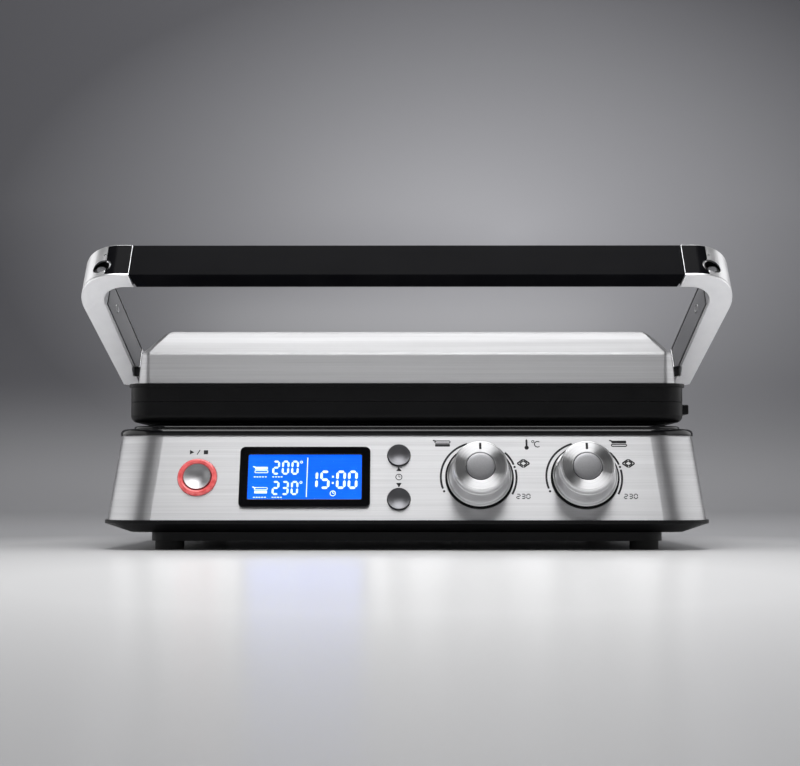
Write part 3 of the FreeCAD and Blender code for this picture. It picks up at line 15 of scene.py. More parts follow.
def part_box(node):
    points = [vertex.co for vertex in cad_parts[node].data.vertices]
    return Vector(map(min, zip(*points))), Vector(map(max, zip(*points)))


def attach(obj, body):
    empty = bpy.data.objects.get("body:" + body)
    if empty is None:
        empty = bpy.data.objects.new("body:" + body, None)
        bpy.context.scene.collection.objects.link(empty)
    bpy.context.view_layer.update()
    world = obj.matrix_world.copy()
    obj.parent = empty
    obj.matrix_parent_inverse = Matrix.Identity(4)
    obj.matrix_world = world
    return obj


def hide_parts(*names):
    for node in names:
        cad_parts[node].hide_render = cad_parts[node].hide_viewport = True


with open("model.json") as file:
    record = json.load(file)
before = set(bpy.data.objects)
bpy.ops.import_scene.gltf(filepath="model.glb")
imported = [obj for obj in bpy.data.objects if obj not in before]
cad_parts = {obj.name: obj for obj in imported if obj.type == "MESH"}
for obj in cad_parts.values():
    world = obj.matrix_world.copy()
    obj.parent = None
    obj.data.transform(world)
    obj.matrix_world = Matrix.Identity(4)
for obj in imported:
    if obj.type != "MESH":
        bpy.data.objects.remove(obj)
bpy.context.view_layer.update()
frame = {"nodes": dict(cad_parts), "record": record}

MM = 0.001

# %% [markdown]
# Every new piece takes the same last steps. Its mesh is put in place, its normals are made to face
# outwards, it is shaded smooth except at sharp edges, and it rides on the body that carries it on the
# real grill. One helper does all of that, so a piece's own cell is only about its shape. The
# Weighted Normal modifier keeps flat faces flat beside their rounded edges. A piece names its finish.

# %% Helper that finishes a piece
SHARP = math.radians(40)
finishes = {}


def face_outwards(bm):
    """Makes all faces look outwards."""
    bmesh.ops.recalc_face_normals(bm, faces=bm.faces)


def into_mesh(bm, name):
    """Writes a bmesh into a new mesh and frees it."""
    mesh = bpy.data.meshes.new(name)
    bm.to_mesh(mesh)
    bm.free()
    return mesh


def into_scene(name, data):
    """A new object in the scene that shows the given data."""
    holder = bpy.data.objects.new(name, data)
    bpy.context.scene.collection.objects.link(holder)
    return holder


def finish_piece(bm, name, body, look, place=Matrix(), stands_for=(), sharp=SHARP, slot=None):
    """Turns a bmesh into a piece that rides on a body, and hides the CAD nodes it stands for."""
    bmesh.ops.transform(bm, matrix=place, verts=bm.verts)
    face_outwards(bm)
    mesh = into_mesh(bm, name)
    mesh.shade_smooth()
    mesh.set_sharp_from_angle(angle=sharp)
    mesh.materials.append(finishes[look])
    piece = into_scene(name, mesh)
    level = piece.modifiers.new("flat_faces", "WEIGHTED_NORMAL")
    level.keep_sharp = True
    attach(piece, body)
    slot = slot or look
    if stands_for:
        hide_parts(*stands_for)
    print("made", name, "with", len(mesh.polygons), "faces")


# %% [markdown]
# Many of the grill's small parts are turned: buttons, rings, dials, screws. Such a part is half of its
# section, swept round an axis. The spin operator does the sweep, and a bevel on the rings that are
# still sharp takes the knife edge off, as a file would.

# %% Helpers for turned parts
ROUND_STEPS = 96
MERGE = 0.001
TURNED_EDGE = math.radians(24)


def sharp_edges(bm, least):
    """Edges whose two faces meet at more than the least angle."""
    return [edge for edge in bm.edges if len(edge.link_faces) == 2 and edge.calc_face_angle() > least]


def soften(bm, edges, width, segments=2):
    """Rounds the given edges by a width in millimetres."""
    bmesh.ops.bevel(bm, geom=edges, offset=width * MM, offset_type="OFFSET", affect="EDGES",
                    segments=segments, profile=0.5, material=-1, clamp_overlap=True)


def turned(section, edge_width=0.0, steps=ROUND_STEPS):
    """Spins a section of (radius, height) points in millimetres round the Z axis."""
    bm = bmesh.new()
    points = [bm.verts.new((radius * MM, 0, height * MM)) for radius, height in section]
    for pair in zip(points, points[1:]):
        bm.edges.new(pair)
    bmesh.ops.spin(bm, geom=[*bm.verts, *bm.edges], cent=(0, 0, 0), axis=(0, 0, 1), angle=math.tau,
                   steps=steps, use_merge=True)
    bmesh.ops.remove_doubles(bm, verts=bm.verts, dist=MERGE * MM)
    if edge_width:
        soften(bm, sharp_edges(bm, TURNED_EDGE), edge_width)
    return bm


# %% [markdown]
# A pressed or moulded part never has a knife edge, and a thin highlight along each edge is what makes it
# look real. The CAD nodes have sharp edges there. A copy of the node is merged, its flat faces are
# joined, and its sharp edges are bevelled; the copy then stands for the node.

# %% Helper for rounded copies of CAD nodes
CAD_MERGE = 0.002
END_BAND = 0.5
FLAT = math.radians(0.5)
CAD_EDGE = math.radians(32)


def rounded_copy(node, body, look, width, reach=0.0):
    """Copies a CAD node with its sharp edges rounded and its right end drawn out, in millimetres."""
    bm = bmesh.new()
    bm.from_mesh(frame["nodes"][node].data)
    bmesh.ops.remove_doubles(bm, verts=bm.verts, dist=CAD_MERGE * MM)
    right = max(vert.co.x for vert in bm.verts)
    end = [vert for vert in bm.verts if vert.co.x > right - END_BAND * MM]
    bmesh.ops.translate(bm, verts=end, vec=(reach * MM, 0, 0))
    bmesh.ops.dissolve_limit(bm, angle_limit=FLAT, verts=bm.verts, edges=bm.edges)
    soften(bm, sharp_edges(bm, CAD_EDGE), width)
    finish_piece(bm, node + "_rounded", body, look, stands_for=[node])


# %% [markdown]
# Finishes are built from shader nodes on object coordinates, so that they stay with a part when it
# moves. These helpers add a node with its inputs, make a grain from stretched noise, and turn that
# grain into a range of numbers, a tint or a bump.

# %% Helpers for finishes
def socket(shader, key):
    """The shader's input that a plain key means."""
    return shader.inputs[key.replace("_", " ").title().replace("Ior", "IOR")]


def new_finish(name, **settings):
    """Adds a Principled material with the given constant settings to the finishes."""
    finishes[name] = bpy.data.materials.new(name)
    finishes[name].use_nodes = True
    tree = finishes[name].node_tree
    shader = tree.nodes["Principled BSDF"]
    for key, value in settings.items():
        socket(shader, key).default_value = value
    return tree, shader


def add(tree, kind, inputs, **settings):
    """Adds a shader node, and sets or links its inputs."""
    node = tree.nodes.new("ShaderNode" + kind)
    for key, value in settings.items():
        setattr(node, key, value)
    for key, value in inputs.items():
        if isinstance(value, bpy.types.NodeSocket):
            tree.links.new(value, node.inputs[key])
        else:
            node.inputs[key].default_value = value
    return node


def coordinates(tree, kind="Object"):
    """One of the texture coordinates."""
    return add(tree, "TexCoord", {}).outputs[kind]


def grain(tree, scale, detail=3.0, where=None):
    """Noise stretched by a scale for each axis, on object coordinates unless others are given."""
    if where is None:
        where = coordinates(tree)
    stretched = add(tree, "Mapping", {"Vector": where, "Scale": scale}).outputs["Vector"]
    return add(tree, "TexNoise", {"Vector": stretched, "Scale": 1.0, "Detail": detail}).outputs["Fac"]


def mixed(tree, share, first, second):
    """Mixes two grains by a share."""
    return add(tree, "Mix", {"Factor": share, "A": first, "B": second}).outputs["Result"]


def between(tree, factor, low, high, start=0.3, end=0.7, **settings):
    """Maps a factor to a range."""
    spread = add(tree, "MapRange", {"Value": factor, "From Min": start, "From Max": end,
                                    "To Min": low, "To Max": high}, **settings)
    return spread.outputs["Result"]


def tint(tree, factor, dark, light, start=0.3, end=0.7):
    """Maps a factor to a colour between two."""
    ramp = add(tree, "ValToRGB", {"Fac": factor})
    first, last = ramp.color_ramp.elements
    first.position, last.position = start, end
    first.color, last.color = (*dark, 1), (*light, 1)
    return ramp.outputs["Color"]


def connect(tree, shader, **sources):
    """Links sockets to the shader's inputs."""
    for key, source in sources.items():
        tree.links.new(source, socket(shader, key))


def coloured(tree, shader, marks, dark, light, rough, *ends):
    """Lets the tint and the roughness follow a grain."""
    connect(tree, shader, base_color=tint(tree, marks, dark, light, *ends),
            roughness=between(tree, marks, *rough))


def relief(tree, shader, height, depth):
    """Bumps the surface by a height."""
    bump = add(tree, "Bump", {"Height": height, "Distance": depth * MM})
    connect(tree, shader, normal=bump.outputs["Normal"])


# %% [markdown]
# The black parts are moulded plastic. A mould leaves a fine, even spark texture, so a shallow bump follows
# fine noise, and the colour and the roughness vary a little over a few centimetres where hands have
# polished it. Gloss parts use the same recipe with a smooth surface and a slow ripple.

# %% Plastic finishes
CLOUDS_PER_METRE = 35


def even(count):
    """The same count on all three axes."""
    return (count, count, count)


def plastic(name, dark, light, rough, sparks_per_metre, depth, specular):
    """Moulded plastic: cloudy tint, fine spark texture."""
    tree, shader = new_finish(name, specular_ior_level=specular)
    coloured(tree, shader, grain(tree, even(CLOUDS_PER_METRE)), dark, light, rough)
    relief(tree, shader, grain(tree, even(sparks_per_metre), detail=2.0), depth)


# Darkest and lightest tint, range of roughness, sparks per metre, their depth, and the specular level
PLASTICS = {
    "moulded_black": ((0.0014, 0.0014, 0.0018), (0.003, 0.003, 0.0036), (0.36, 0.46), 1800, 0.05, 0.18),
    "satin_black": ((0.003, 0.003, 0.004), (0.005, 0.005, 0.006), (0.34, 0.4), 2400, 0.03, 0.015),
    "gloss_black": ((0.002, 0.002, 0.0025), (0.004, 0.004, 0.005), (0.07, 0.13), 120, 0.01, 0.4),
    "inlay_black": ((0.003, 0.003, 0.004), (0.005, 0.005, 0.006), (0.16, 0.22), 160, 0.01, 0.02),
    "dark_part": ((0.015, 0.015, 0.017), (0.03, 0.03, 0.032), (0.4, 0.55), 1500, 0.05, 0.3),
    "foot_rubber": ((0.008, 0.008, 0.008), (0.016, 0.016, 0.016), (0.6, 0.75), 900, 0.12, 0.25),
    "pale_nylon": ((0.62, 0.6, 0.55), (0.72, 0.7, 0.65), (0.4, 0.5), 1200, 0.04, 0.4),
    "grey_lining": ((0.19, 0.19, 0.2), (0.24, 0.24, 0.25), (0.4, 0.5), 1500, 0.05, 0.3),
}
for name, look in PLASTICS.items():
    plastic(name, *look)
print("plastic finishes:", ", ".join(finishes))

# %% [markdown]
# The control panel and the lid's cover are brushed stainless steel. Brushing leaves long scratches, so
# the highlight spreads across them and stays narrow along them. The scratches are noise that is
# stretched along the sheet, the spread is the shader's anisotropy with an upright tangent, and on the
# level top of the lid the lines follow Y-planes instead of Z-planes.

# %% Brushed steel
UPRIGHT = (0.0, 0.4, 1.0)
LEVEL_FROM, LEVEL_TO = 0.72, 0.8
FINE_LINES, BROAD_LINES = (9, 2400), (4, 420)
BROAD_SHARE = 0.45


def brushed_lines(tree, along, across):
    """Scratches along the sheet, whichever way it faces; both counts are per metre."""
    upright = grain(tree, (along, along, across), detail=4.0)
    level = grain(tree, (along, across, along), detail=4.0)
    facing = add(tree, "SeparateXYZ", {"Vector": coordinates(tree, "Normal")}).outputs["Z"]
    return mixed(tree, between(tree, facing, 0, 1, LEVEL_FROM, LEVEL_TO), upright, level)


def brushed_steel():
    """Stainless sheet with long scratches."""
    tree, shader = new_finish("brushed_steel", metallic=1.0, anisotropic=0.85)
    lines = mixed(tree, BROAD_SHARE, brushed_lines(tree, *FINE_LINES), brushed_lines(tree, *BROAD_LINES))
    coloured(tree, shader, lines, (0.51, 0.51, 0.52), (0.6, 0.6, 0.61), (0.44, 0.36), 0.36, 0.64)
    relief(tree, shader, lines, 0.012)
    axis = add(tree, "CombineXYZ", dict(zip("XYZ", UPRIGHT)))
    turned_axis = add(tree, "VectorTransform", {"Vector": axis.outputs["Vector"]}, vector_type="VECTOR",
                      convert_from="OBJECT", convert_to="WORLD")
    connect(tree, shader, tangent=turned_axis.outputs["Vector"])


brushed_steel()

# %% [markdown]
# The other metals differ in how they were worked. The handle's arms are cast and satin plated, the start
# button is bright and the timer buttons are grey, screws and the shaft are turned, the heaters are
# scorched tube and the reflectors thin bright sheet. Each gets a tint and a roughness that follow its own
# grain.

# %% Other metal finishes
def worked_metal(name, dark, light, rough, scale, depth, metallic=1.0):
    """Metal with a grain along the way it was worked."""
    tree, shader = new_finish(name, metallic=metallic)
    marks = grain(tree, scale)
    coloured(tree, shader, marks, dark, light, rough)
    relief(tree, shader, marks, depth)


# Darkest and lightest tint, range of roughness, grain per metre on each axis, its depth, how metallic
METALS = {
    "cast_silver": ((0.93, 0.93, 0.945), (0.97, 0.97, 0.98), (0.36, 0.4), even(120), 0.0006),
    "button_grey": ((0.15, 0.15, 0.16), (0.17, 0.17, 0.18), (0.36, 0.42), even(60), 0.003),
    "bright_metal": ((0.42, 0.42, 0.43), (0.47, 0.47, 0.48), (0.36, 0.42), even(60), 0.003),
    "turned_steel": ((0.5, 0.5, 0.51), (0.56, 0.56, 0.57), (0.26, 0.3), (300, 40, 40), 0.002),
    "heater_tube": ((0.16, 0.13, 0.11), (0.34, 0.29, 0.25), (0.4, 0.55), even(140), 0.05),
    "bright_sheet": ((0.52, 0.52, 0.53), (0.6, 0.6, 0.61), (0.3, 0.38), (8, 260, 260), 0.02),
    "black_steel": ((0.012, 0.012, 0.013), (0.02, 0.02, 0.022), (0.34, 0.46), even(1600), 0.04, 0.3),
    "dial_satin": ((0.27, 0.27, 0.28), (0.31, 0.31, 0.32), (0.42, 0.48), even(1200), 0.003),
    # painted shade: a darker screw metal for the shade in the handle's corner pockets
    "painted_shade_screw": ((0.03, 0.03, 0.032), (0.08, 0.08, 0.085), (0.3, 0.42), even(900), 0.01),
}
for name, look in METALS.items():
    worked_metal(name, *look)
print("finishes so far:", len(finishes))

# %% [markdown]
# The dials are turned on a lathe, so their scratches run in circles and the light on the face makes a
# bow tie. Their meshes carry a UV map whose first axis runs outwards and down the side, and the Tangent
# node reads it, which spreads the highlight across the circles wherever the face looks.

# %% Circle brushed finish
TURN_MAP = "turning"
RINGS_PER_METRE, MARKS_PER_TURN = 2600, 6


def circle_brushed():
    """Lathe turned face: fine rings and a bow tie highlight."""
    tree, shader = new_finish("circle_brushed", metallic=1.0, anisotropic=1.0)
    where = add(tree, "UVMap", {}, uv_map=TURN_MAP).outputs["UV"]
    rings = grain(tree, (RINGS_PER_METRE, MARKS_PER_TURN, 1), detail=1.0, where=where)
    coloured(tree, shader, rings, (0.68, 0.68, 0.69), (0.79, 0.79, 0.8), (0.3, 0.28))
    relief(tree, shader, rings, 0.001)
    across = add(tree, "Tangent", {}, direction_type="UV_MAP", uv_map=TURN_MAP)
    connect(tree, shader, tangent=across.outputs["Tangent"])


circle_brushed()

# %% [markdown]
# Two parts give light: the red ring round the start button is a cloudy plastic light pipe, and the
# display is a blue back-lit panel with fine lines of cells. Both get a plain emission. The lens over
# the display is clear, and the marks on the panel are printed ink, slightly worn.

# %% Light, glass and ink
def red_light():
    """Cloudy red light pipe, lit from inside."""
    tree, shader = new_finish("red_light", specular_ior_level=0.5, coat_weight=0.6, emission_strength=0.4)
    haze = grain(tree, even(220))
    glow = tint(tree, haze, (0.58, 0.06, 0.062), (0.72, 0.13, 0.13))
    connect(tree, shader, base_color=glow, emission_color=glow, roughness=between(tree, haze, 0.22, 0.34))


def display_blue():
    """Back-lit blue cells in fine lines."""
    tree, shader = new_finish("display_blue", specular_ior_level=0.2, emission_strength=0.95, roughness=0.5)
    cells = grain(tree, (25, 1500, 1500), detail=1.0)
    cloud = grain(tree, even(22))
    blue = tint(tree, mixed(tree, 0.75, cells, cloud), (0.0, 0.1, 0.86), (0.002, 0.16, 1.0))
    connect(tree, shader, base_color=blue, emission_color=blue)


def figure_light():
    """Pale lit figures on the display."""
    tree, shader = new_finish("figure_light", emission_strength=1.0, roughness=0.5)
    pale = tint(tree, grain(tree, even(300)), (0.66, 0.86, 1.0), (0.8, 0.94, 1.0))
    connect(tree, shader, base_color=pale, emission_color=pale)


def clear_lens():
    """Clear window, with the faintest wipe marks."""
    tree, shader = new_finish("clear_lens", base_color=(1, 1, 1, 1), transmission_weight=1.0, ior=1.3,
                              specular_ior_level=0.25)
    connect(tree, shader, roughness=between(tree, grain(tree, (60, 20, 20)), 0.0, 0.02))


def printed_ink():
    """Grey-black screen print."""
    tree, shader = new_finish("printed_ink", specular_ior_level=0.2)
    coloured(tree, shader, grain(tree, even(500)), (0.012, 0.012, 0.013), (0.03, 0.03, 0.032), (0.5, 0.65))


for make in (red_light, display_blue, figure_light, clear_lens, printed_ink):
    make()

# %% [markdown]
# The grilling plates are cast aluminium under a non-stick coat with a faint fleck, and the circuit boards
# are green laminate with pale tracks. Neither shows in the closed view, but the lid opens.

# %% Plate coat and circuit board
def nonstick():
    """Dark coat with pale flecks."""
    tree, shader = new_finish("nonstick", specular_ior_level=0.4)
    fleck = grain(tree, even(1100), detail=1.0)
    coloured(tree, shader, fleck, (0.014, 0.014, 0.015), (0.07, 0.07, 0.075), (0.42, 0.55), 0.6, 0.8)
    relief(tree, shader, fleck, 0.03)


def circuit_board():
    """Green laminate with tracks."""
    tree, shader = new_finish("circuit_board", specular_ior_level=0.4)
    bricks = add(tree, "TexBrick", {"Vector": coordinates(tree), "Scale": 60.0, "Mortar Size": 0.03})
    coloured(tree, shader, bricks.outputs["Fac"], (0.01, 0.09, 0.03), (0.3, 0.25, 0.1), (0.3, 0.5))


nonstick()
circuit_board()

# %% [markdown]
# The record names a material slot for every CAD node. Each node takes the finish of its slot, so the
# nodes that stay on show are finished before any new piece is made. Only the screws in the handle's
# corners are darker than their slot, as painted shade of the pockets they sit in.

# %% Dress the CAD nodes
slot_of = {part["node"]: part["material_slot"] for part in frame["record"]["subparts"]}
bodies = frame["record"]["behaviour"]["bodies"]
body_of = {node: body for body, nodes in bodies.items() for node in nodes}


def dress(node, look):
    """Gives a CAD node a finish."""
    for holder in frame["nodes"][node].material_slots:
        holder.material = finishes[look]


for node, slot in slot_of.items():
    dress(node, slot)
# painted shade: the corner screws get the darker metal for the shade of their pockets
dress("corner_screws", "painted_shade_screw")

# %% [markdown]
# The handle is a wide bail that leans back. Its two arms are bent flat bars, cast in two layers: a face
# and a body, with a fine seam between them. The blank is one outline with its two bends made by a
# vertex bevel, then drawn out across the band. Everything is made for the right hand, in the handle's
# own axes, and mirrored for the left.

# %% Handle frame and arm blank
HANDLE_LEAN = math.radians(50)
HANDLE_BAND = 31.5 * MM
HANDLE_TOP = 111 * MM
BAR_LOW = 99 * MM
BAR_END = 194.8 * MM
END_SLANT = 2.8 * MM
FOOT_OUTSIDE = 211 * MM
FOOT_INSIDE = 198.2 * MM
FOOT_RUN = 45 * MM
OUTSIDE_LEAN = math.tan(math.radians(13.6))
INSIDE_LEAN = math.tan(math.radians(11))
BEND_OUTSIDE = 26.5 * MM
BEND_INSIDE = 15 * MM
BEND_STEPS = 14
arm_low, arm_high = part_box("handle_arm_right")
handle_y = arm_high.y - HANDLE_BAND / math.cos(HANDLE_LEAN)
handle_right = Matrix.Translation((0, handle_y, arm_low.z)) @ Matrix.Rotation(HANDLE_LEAN, 4, "X")
hands = {"right": handle_right, "left": handle_right @ Matrix.Scale(-1, 4, (1, 0, 0))}
peak_outside = FOOT_OUTSIDE + HANDLE_TOP * OUTSIDE_LEAN
peak_inside = FOOT_INSIDE + BAR_LOW * INSIDE_LEAN
run_outside = BEND_OUTSIDE / math.tan((math.pi / 2 - math.atan(OUTSIDE_LEAN)) / 2)
run_inside = BEND_INSIDE / math.tan((math.pi / 2 - math.atan(INSIDE_LEAN)) / 2)


def round_corners(bm, corners, run, segments):
    """Rounds corners of a flat outline, each from a run before it to a run after it."""
    bmesh.ops.bevel(bm, geom=corners, offset=run, offset_type="OFFSET", affect="VERTICES",
                    segments=segments, profile=0.5, material=-1, clamp_overlap=False)


def flat_face(bm, spots):
    """A flat face through the given spots."""
    return bm.faces.new([bm.verts.new(spot) for spot in spots])


def of_kind(parts, kind):
    """Only the parts of one bmesh kind."""
    return [part for part in parts if isinstance(part, kind)]


def draw_out(bm, faces, way):
    """Extrudes faces by a vector and gives back the moved ones."""
    grown = bmesh.ops.extrude_face_region(bm, geom=faces)["geom"]
    bmesh.ops.translate(bm, verts=of_kind(grown, bmesh.types.BMVert), vec=way)
    return of_kind(grown, bmesh.types.BMFace)


def thicken(bm, way):
    """Draws all faces out by a vector, into closed forms."""
    draw_out(bm, list(bm.faces), way)
    face_outwards(bm)


def arm_blank(front, back):
    """The bent arm from one depth of the band to another."""
    bm = bmesh.new()
    outline = [(BAR_END - END_SLANT, BAR_LOW), (peak_inside, BAR_LOW),
               (FOOT_INSIDE - FOOT_RUN * INSIDE_LEAN, -FOOT_RUN),
               (FOOT_OUTSIDE - FOOT_RUN * OUTSIDE_LEAN, -FOOT_RUN),
               (peak_outside, HANDLE_TOP), (BAR_END, HANDLE_TOP)]
    corners = list(flat_face(bm, [(x, front, z) for x, z in outline]).verts)
    round_corners(bm, [corners[1]], run_inside, BEND_STEPS)
    round_corners(bm, [corners[4]], run_outside, BEND_STEPS)
    thicken(bm, (0, back - front, 0))
    return bm


def rim(bm, depth):
    """Edges of the blank that lie at one depth of the band."""
    near = 0.01 * MM
    return [edge for edge in bm.edges if all(abs(vert.co.y - depth) < near for vert in edge.verts)]


print("handle starts at height", round(arm_low.z, 4), "and bends at", round(peak_outside, 4))

# %% [markdown]
# Holes and beds are cut with Boolean modifiers, as a milling cutter would cut them: a cutter is a plain
# closed form that is used once and removed. The result is read back as a mesh, so the piece keeps no
# modifier that needs the cutter.

# %% Helpers that mill a piece
ROD_STEPS = 48
SQUARE = math.radians(60)


def cutter(bm, place):
    """A closed form that is used to cut."""
    bmesh.ops.transform(bm, matrix=place, verts=bm.verts)
    face_outwards(bm)
    return into_scene("cutter", into_mesh(bm, "cutter"))


def mill(bm, place, tools):
    """Cuts tools out of a bmesh, all of them placed alike, and gives back a bmesh in the grill's frame."""
    blank = cutter(bm, place)
    cutters = [cutter(tool, place) for tool in tools]
    for tool in cutters:
        step = blank.modifiers.new("cut", "BOOLEAN")
        step.operation = "DIFFERENCE"
        step.solver = "EXACT"
        step.object = tool
    bpy.context.view_layer.update()
    cut = bpy.data.meshes.new_from_object(blank.evaluated_get(bpy.context.evaluated_depsgraph_get()))
    milled = bmesh.new()
    milled.from_mesh(cut)
    bpy.data.meshes.remove(cut)
    for used in [blank, *cutters]:
        bpy.data.objects.remove(used)
    return milled


def rod(radius, low, high, spot):
    """An upright rod in millimetres, for cutting round holes."""
    bm = bmesh.new()
    place = Matrix.Translation((spot[0] * MM, spot[1] * MM, (low + high) / 2 * MM))
    bmesh.ops.create_cone(bm, cap_ends=True, segments=ROD_STEPS, radius1=radius * MM, radius2=radius * MM,
                          depth=(high - low) * MM, matrix=place)
    return bm


def block(low, high):
    """A block between two corners in millimetres, for cutting straight beds and as a blank."""
    bm = bmesh.new()
    size = [(top - bottom) * MM for bottom, top in zip(low, high)]
    middle = [(top + bottom) / 2 * MM for bottom, top in zip(low, high)]
    bmesh.ops.create_cube(bm, size=1.0, matrix=Matrix.Translation(middle) @ Matrix.Diagonal((*size, 1)))
    return bm


def break_edges(bm, width, segments):
    """Rounds every edge that is about square, by a width in millimetres."""
    soften(bm, sharp_edges(bm, SQUARE), width, segments)


def everything(bm):
    """All vertices, edges and faces, for a cut by a plane."""
    return [*bm.verts, *bm.edges, *bm.faces]


# %% [markdown]
# At each corner a gloss black inlay lies in a bed on the upper face. It runs from the bar round the start
# of the bend and ends in a hollow curve at the screw pocket. The bed and the inlay are the same strip: a
# small rectangle drawn out along the bar and spun round the bend's centre, the bed a little larger.

# %% Inlay strip
INLAY_START = 195.25
INLAY_NEAR, INLAY_FAR = 1.9, 0.8
INLAY_SWEEP = math.radians(17)
INLAY_STEPS = 8
bend_centre = Vector((peak_outside - run_outside, 0, HANDLE_TOP - BEND_OUTSIDE))


def inlay_strip(depth, proud, play=0.0):
    """The inlay's strip: its depth under the face, how proud it stands and the play round it."""
    bm = bmesh.new()
    start = (INLAY_START - play) * MM
    near, far = (INLAY_NEAR - play) * MM, HANDLE_BAND - (INLAY_FAR - play) * MM
    low, high = HANDLE_TOP - depth * MM, HANDLE_TOP + proud * MM
    corners = [(near, low), (near, high), (far, high), (far, low)]
    end = flat_face(bm, [(start, y, z) for y, z in corners])
    end = draw_out(bm, [end], (bend_centre.x - start, 0, 0))[0]
    bmesh.ops.spin(bm, geom=[end, *end.edges, *end.verts], cent=bend_centre, axis=(0, 1, 0),
                   angle=INLAY_SWEEP + play * MM / BEND_OUTSIDE, steps=INLAY_STEPS)
    face_outwards(bm)
    return bm


# %% [markdown]
# Now the arms are made. The body loses the inlay's bed, the screw pocket, a drilled dot, the bed of the
# grey lining and the slot that takes the end of the hinge arm; then a level plane trims its foot. The
# lining is smaller than its bed, and a sunk black strip of painted shade fills the rest, so a dark line
# runs round it.

# %% Handle arms
SEAM = 0.55 * MM
FACE_LAYER = 2.0 * MM
FRONT_EDGE, SEAM_EDGE, REAR_EDGE = 0.7, 0.2, 0.5
OVER_HANDLE = 125
POCKET_SPOT, POCKET_RADIUS, POCKET_FLOOR = (215.5, 11.34), 6.0, 103.5
DOT_SPOT, DOT_RADIUS, DOT_FLOOR = (213.6, 22.4), 0.9, 106
BED_DEPTH, BED_PLAY, BED_OPEN = 1.3, 0.25, 3.0
LINING_DEPTH, LINING_PROUD, LINING_EDGE = 2.0, 0.1, 0.2
LINING_LOW, LINING_HIGH = 6, 80
LINING_FRONT, LINING_REAR = 3.0, 0.8
LINING_RIM = 2.2
# The black strip of painted shade round the lining: how far it is sunk, and its play
SHADE_STRIP_SUNK, SHADE_STRIP_PLAY = 0.25, 0.05
SLOT = ((190, -80, 125.1), (203, 0, 132.7))


def lining_strip(outwards, inwards, play):
    """A strip along the arm's inner face, from a step outwards to a depth, in millimetres."""
    bm = bmesh.new()
    low, high = LINING_LOW + play, LINING_HIGH - play
    spots = []
    for z, x_shift in ((low, -outwards), (high, -outwards), (high, inwards), (low, inwards)):
        x = FOOT_INSIDE / MM + z * INSIDE_LEAN + x_shift
        spots.append(Vector((x, LINING_FRONT + play, z)) * MM)
    flat_face(bm, spots)
    thicken(bm, (0, HANDLE_BAND - (LINING_FRONT + LINING_REAR + 2 * play) * MM, 0))
    return bm


def trim_foot(bm):
    """Trims an arm level at the height where the CAD arm stands."""
    bmesh.ops.bisect_plane(bm, geom=everything(bm), plane_co=(0, 0, arm_low.z), plane_no=(0, 0, 1),
                           clear_inner=True)
    bmesh.ops.holes_fill(bm, edges=[edge for edge in bm.edges if edge.is_boundary])


def arm_slot():
    """The slot for the hinge arm's end, brought into the handle's own axes."""
    slot = block(*SLOT)
    bmesh.ops.transform(slot, matrix=handle_right.inverted(), verts=slot.verts)
    return slot


def arm_layer(name, hand, place, outside, seam, edge, holes=(), stands_for=()):
    """One layer of an arm, between its outside and the seam."""
    bm = arm_blank(*sorted((outside, seam)))
    soften(bm, rim(bm, outside), edge, 3)
    soften(bm, rim(bm, seam), SEAM_EDGE, 1)
    milled = mill(bm, place, [*holes, arm_slot()])
    trim_foot(milled)
    finish_piece(milled, f"{name}_{hand}", "lid", "cast_silver", stands_for=stands_for)


def handle_arm(hand, place):
    """One arm: its body, and its face in front of a fine seam."""
    holes = [inlay_strip(BED_DEPTH, BED_OPEN, BED_PLAY),
             rod(POCKET_RADIUS, POCKET_FLOOR, OVER_HANDLE, POCKET_SPOT),
             rod(DOT_RADIUS, DOT_FLOOR, OVER_HANDLE, DOT_SPOT),
             lining_strip(BED_OPEN, LINING_DEPTH, 0.0)]
    arm_layer("arm_body", hand, place, HANDLE_BAND, FACE_LAYER + SEAM, REAR_EDGE, holes,
              stands_for=[f"handle_arm_{hand}"])
    arm_layer("arm_face", hand, place, 0, FACE_LAYER, FRONT_EDGE)


def arm_lining(hand, place):
    """The lining of an arm's inner face and the black strip of painted shade round it."""
    # painted shade: a sunk black strip round the lining stands for the shade in the gap
    shade_strip = lining_strip(-SHADE_STRIP_SUNK, LINING_DEPTH - SHADE_STRIP_PLAY, SHADE_STRIP_PLAY)
    finish_piece(mill(shade_strip, place, [arm_slot()]), f"lining_painted_shade_{hand}", "lid", "moulded_black")
    lining = lining_strip(LINING_PROUD, LINING_DEPTH / 2, LINING_RIM)
    soften(lining, list(lining.edges), LINING_EDGE)
    finish_piece(mill(lining, place, [arm_slot()]), f"lining_{hand}", "lid", "grey_lining",
                 stands_for=[f"arm_liner_{hand}"])


for hand, place in hands.items():
    handle_arm(hand, place)
    arm_lining(hand, place)

# %% [markdown]
# A slotted screw holds each lining. Its head is turned, its slot is milled, and it lies on the lining's
# slanted face by a matrix whose third axis is the face's normal.

# %% Lining screws
SCREW_ALONG = 62
SCREW_SECTION = [(0, -0.4), (3.2, -0.4), (3.2, 0.3), (2.9, 0.6), (2.3, 0.6), (2.1, 0.2), (0, 0.2)]
SCREW_EDGE, SCREW_STEPS = 0.08, 40
SCREW_SLOT = ((-2.2, -0.4, -0.2), (2.2, 0.4, 1))


def lining_screw(hand, place):
    """The screw head on an arm's inner face."""
    along = Vector((INSIDE_LEAN, 0, 1)).normalized()
    across = Vector((0, 1, 0))
    middle = (HANDLE_BAND + (LINING_FRONT - LINING_REAR) * MM) / 2
    spot = Vector((FOOT_INSIDE + SCREW_ALONG * INSIDE_LEAN * MM, middle, SCREW_ALONG * MM))
    lie = Matrix.Translation(spot) @ Matrix((along, across, along.cross(across))).transposed().to_4x4()
    head = turned(SCREW_SECTION, SCREW_EDGE, SCREW_STEPS)
    milled = mill(head, place @ lie, [block(*SCREW_SLOT)])
    finish_piece(milled, f"lining_screw_{hand}", "lid", "bright_metal")


for hand, place in hands.items():
    lining_screw(hand, place)
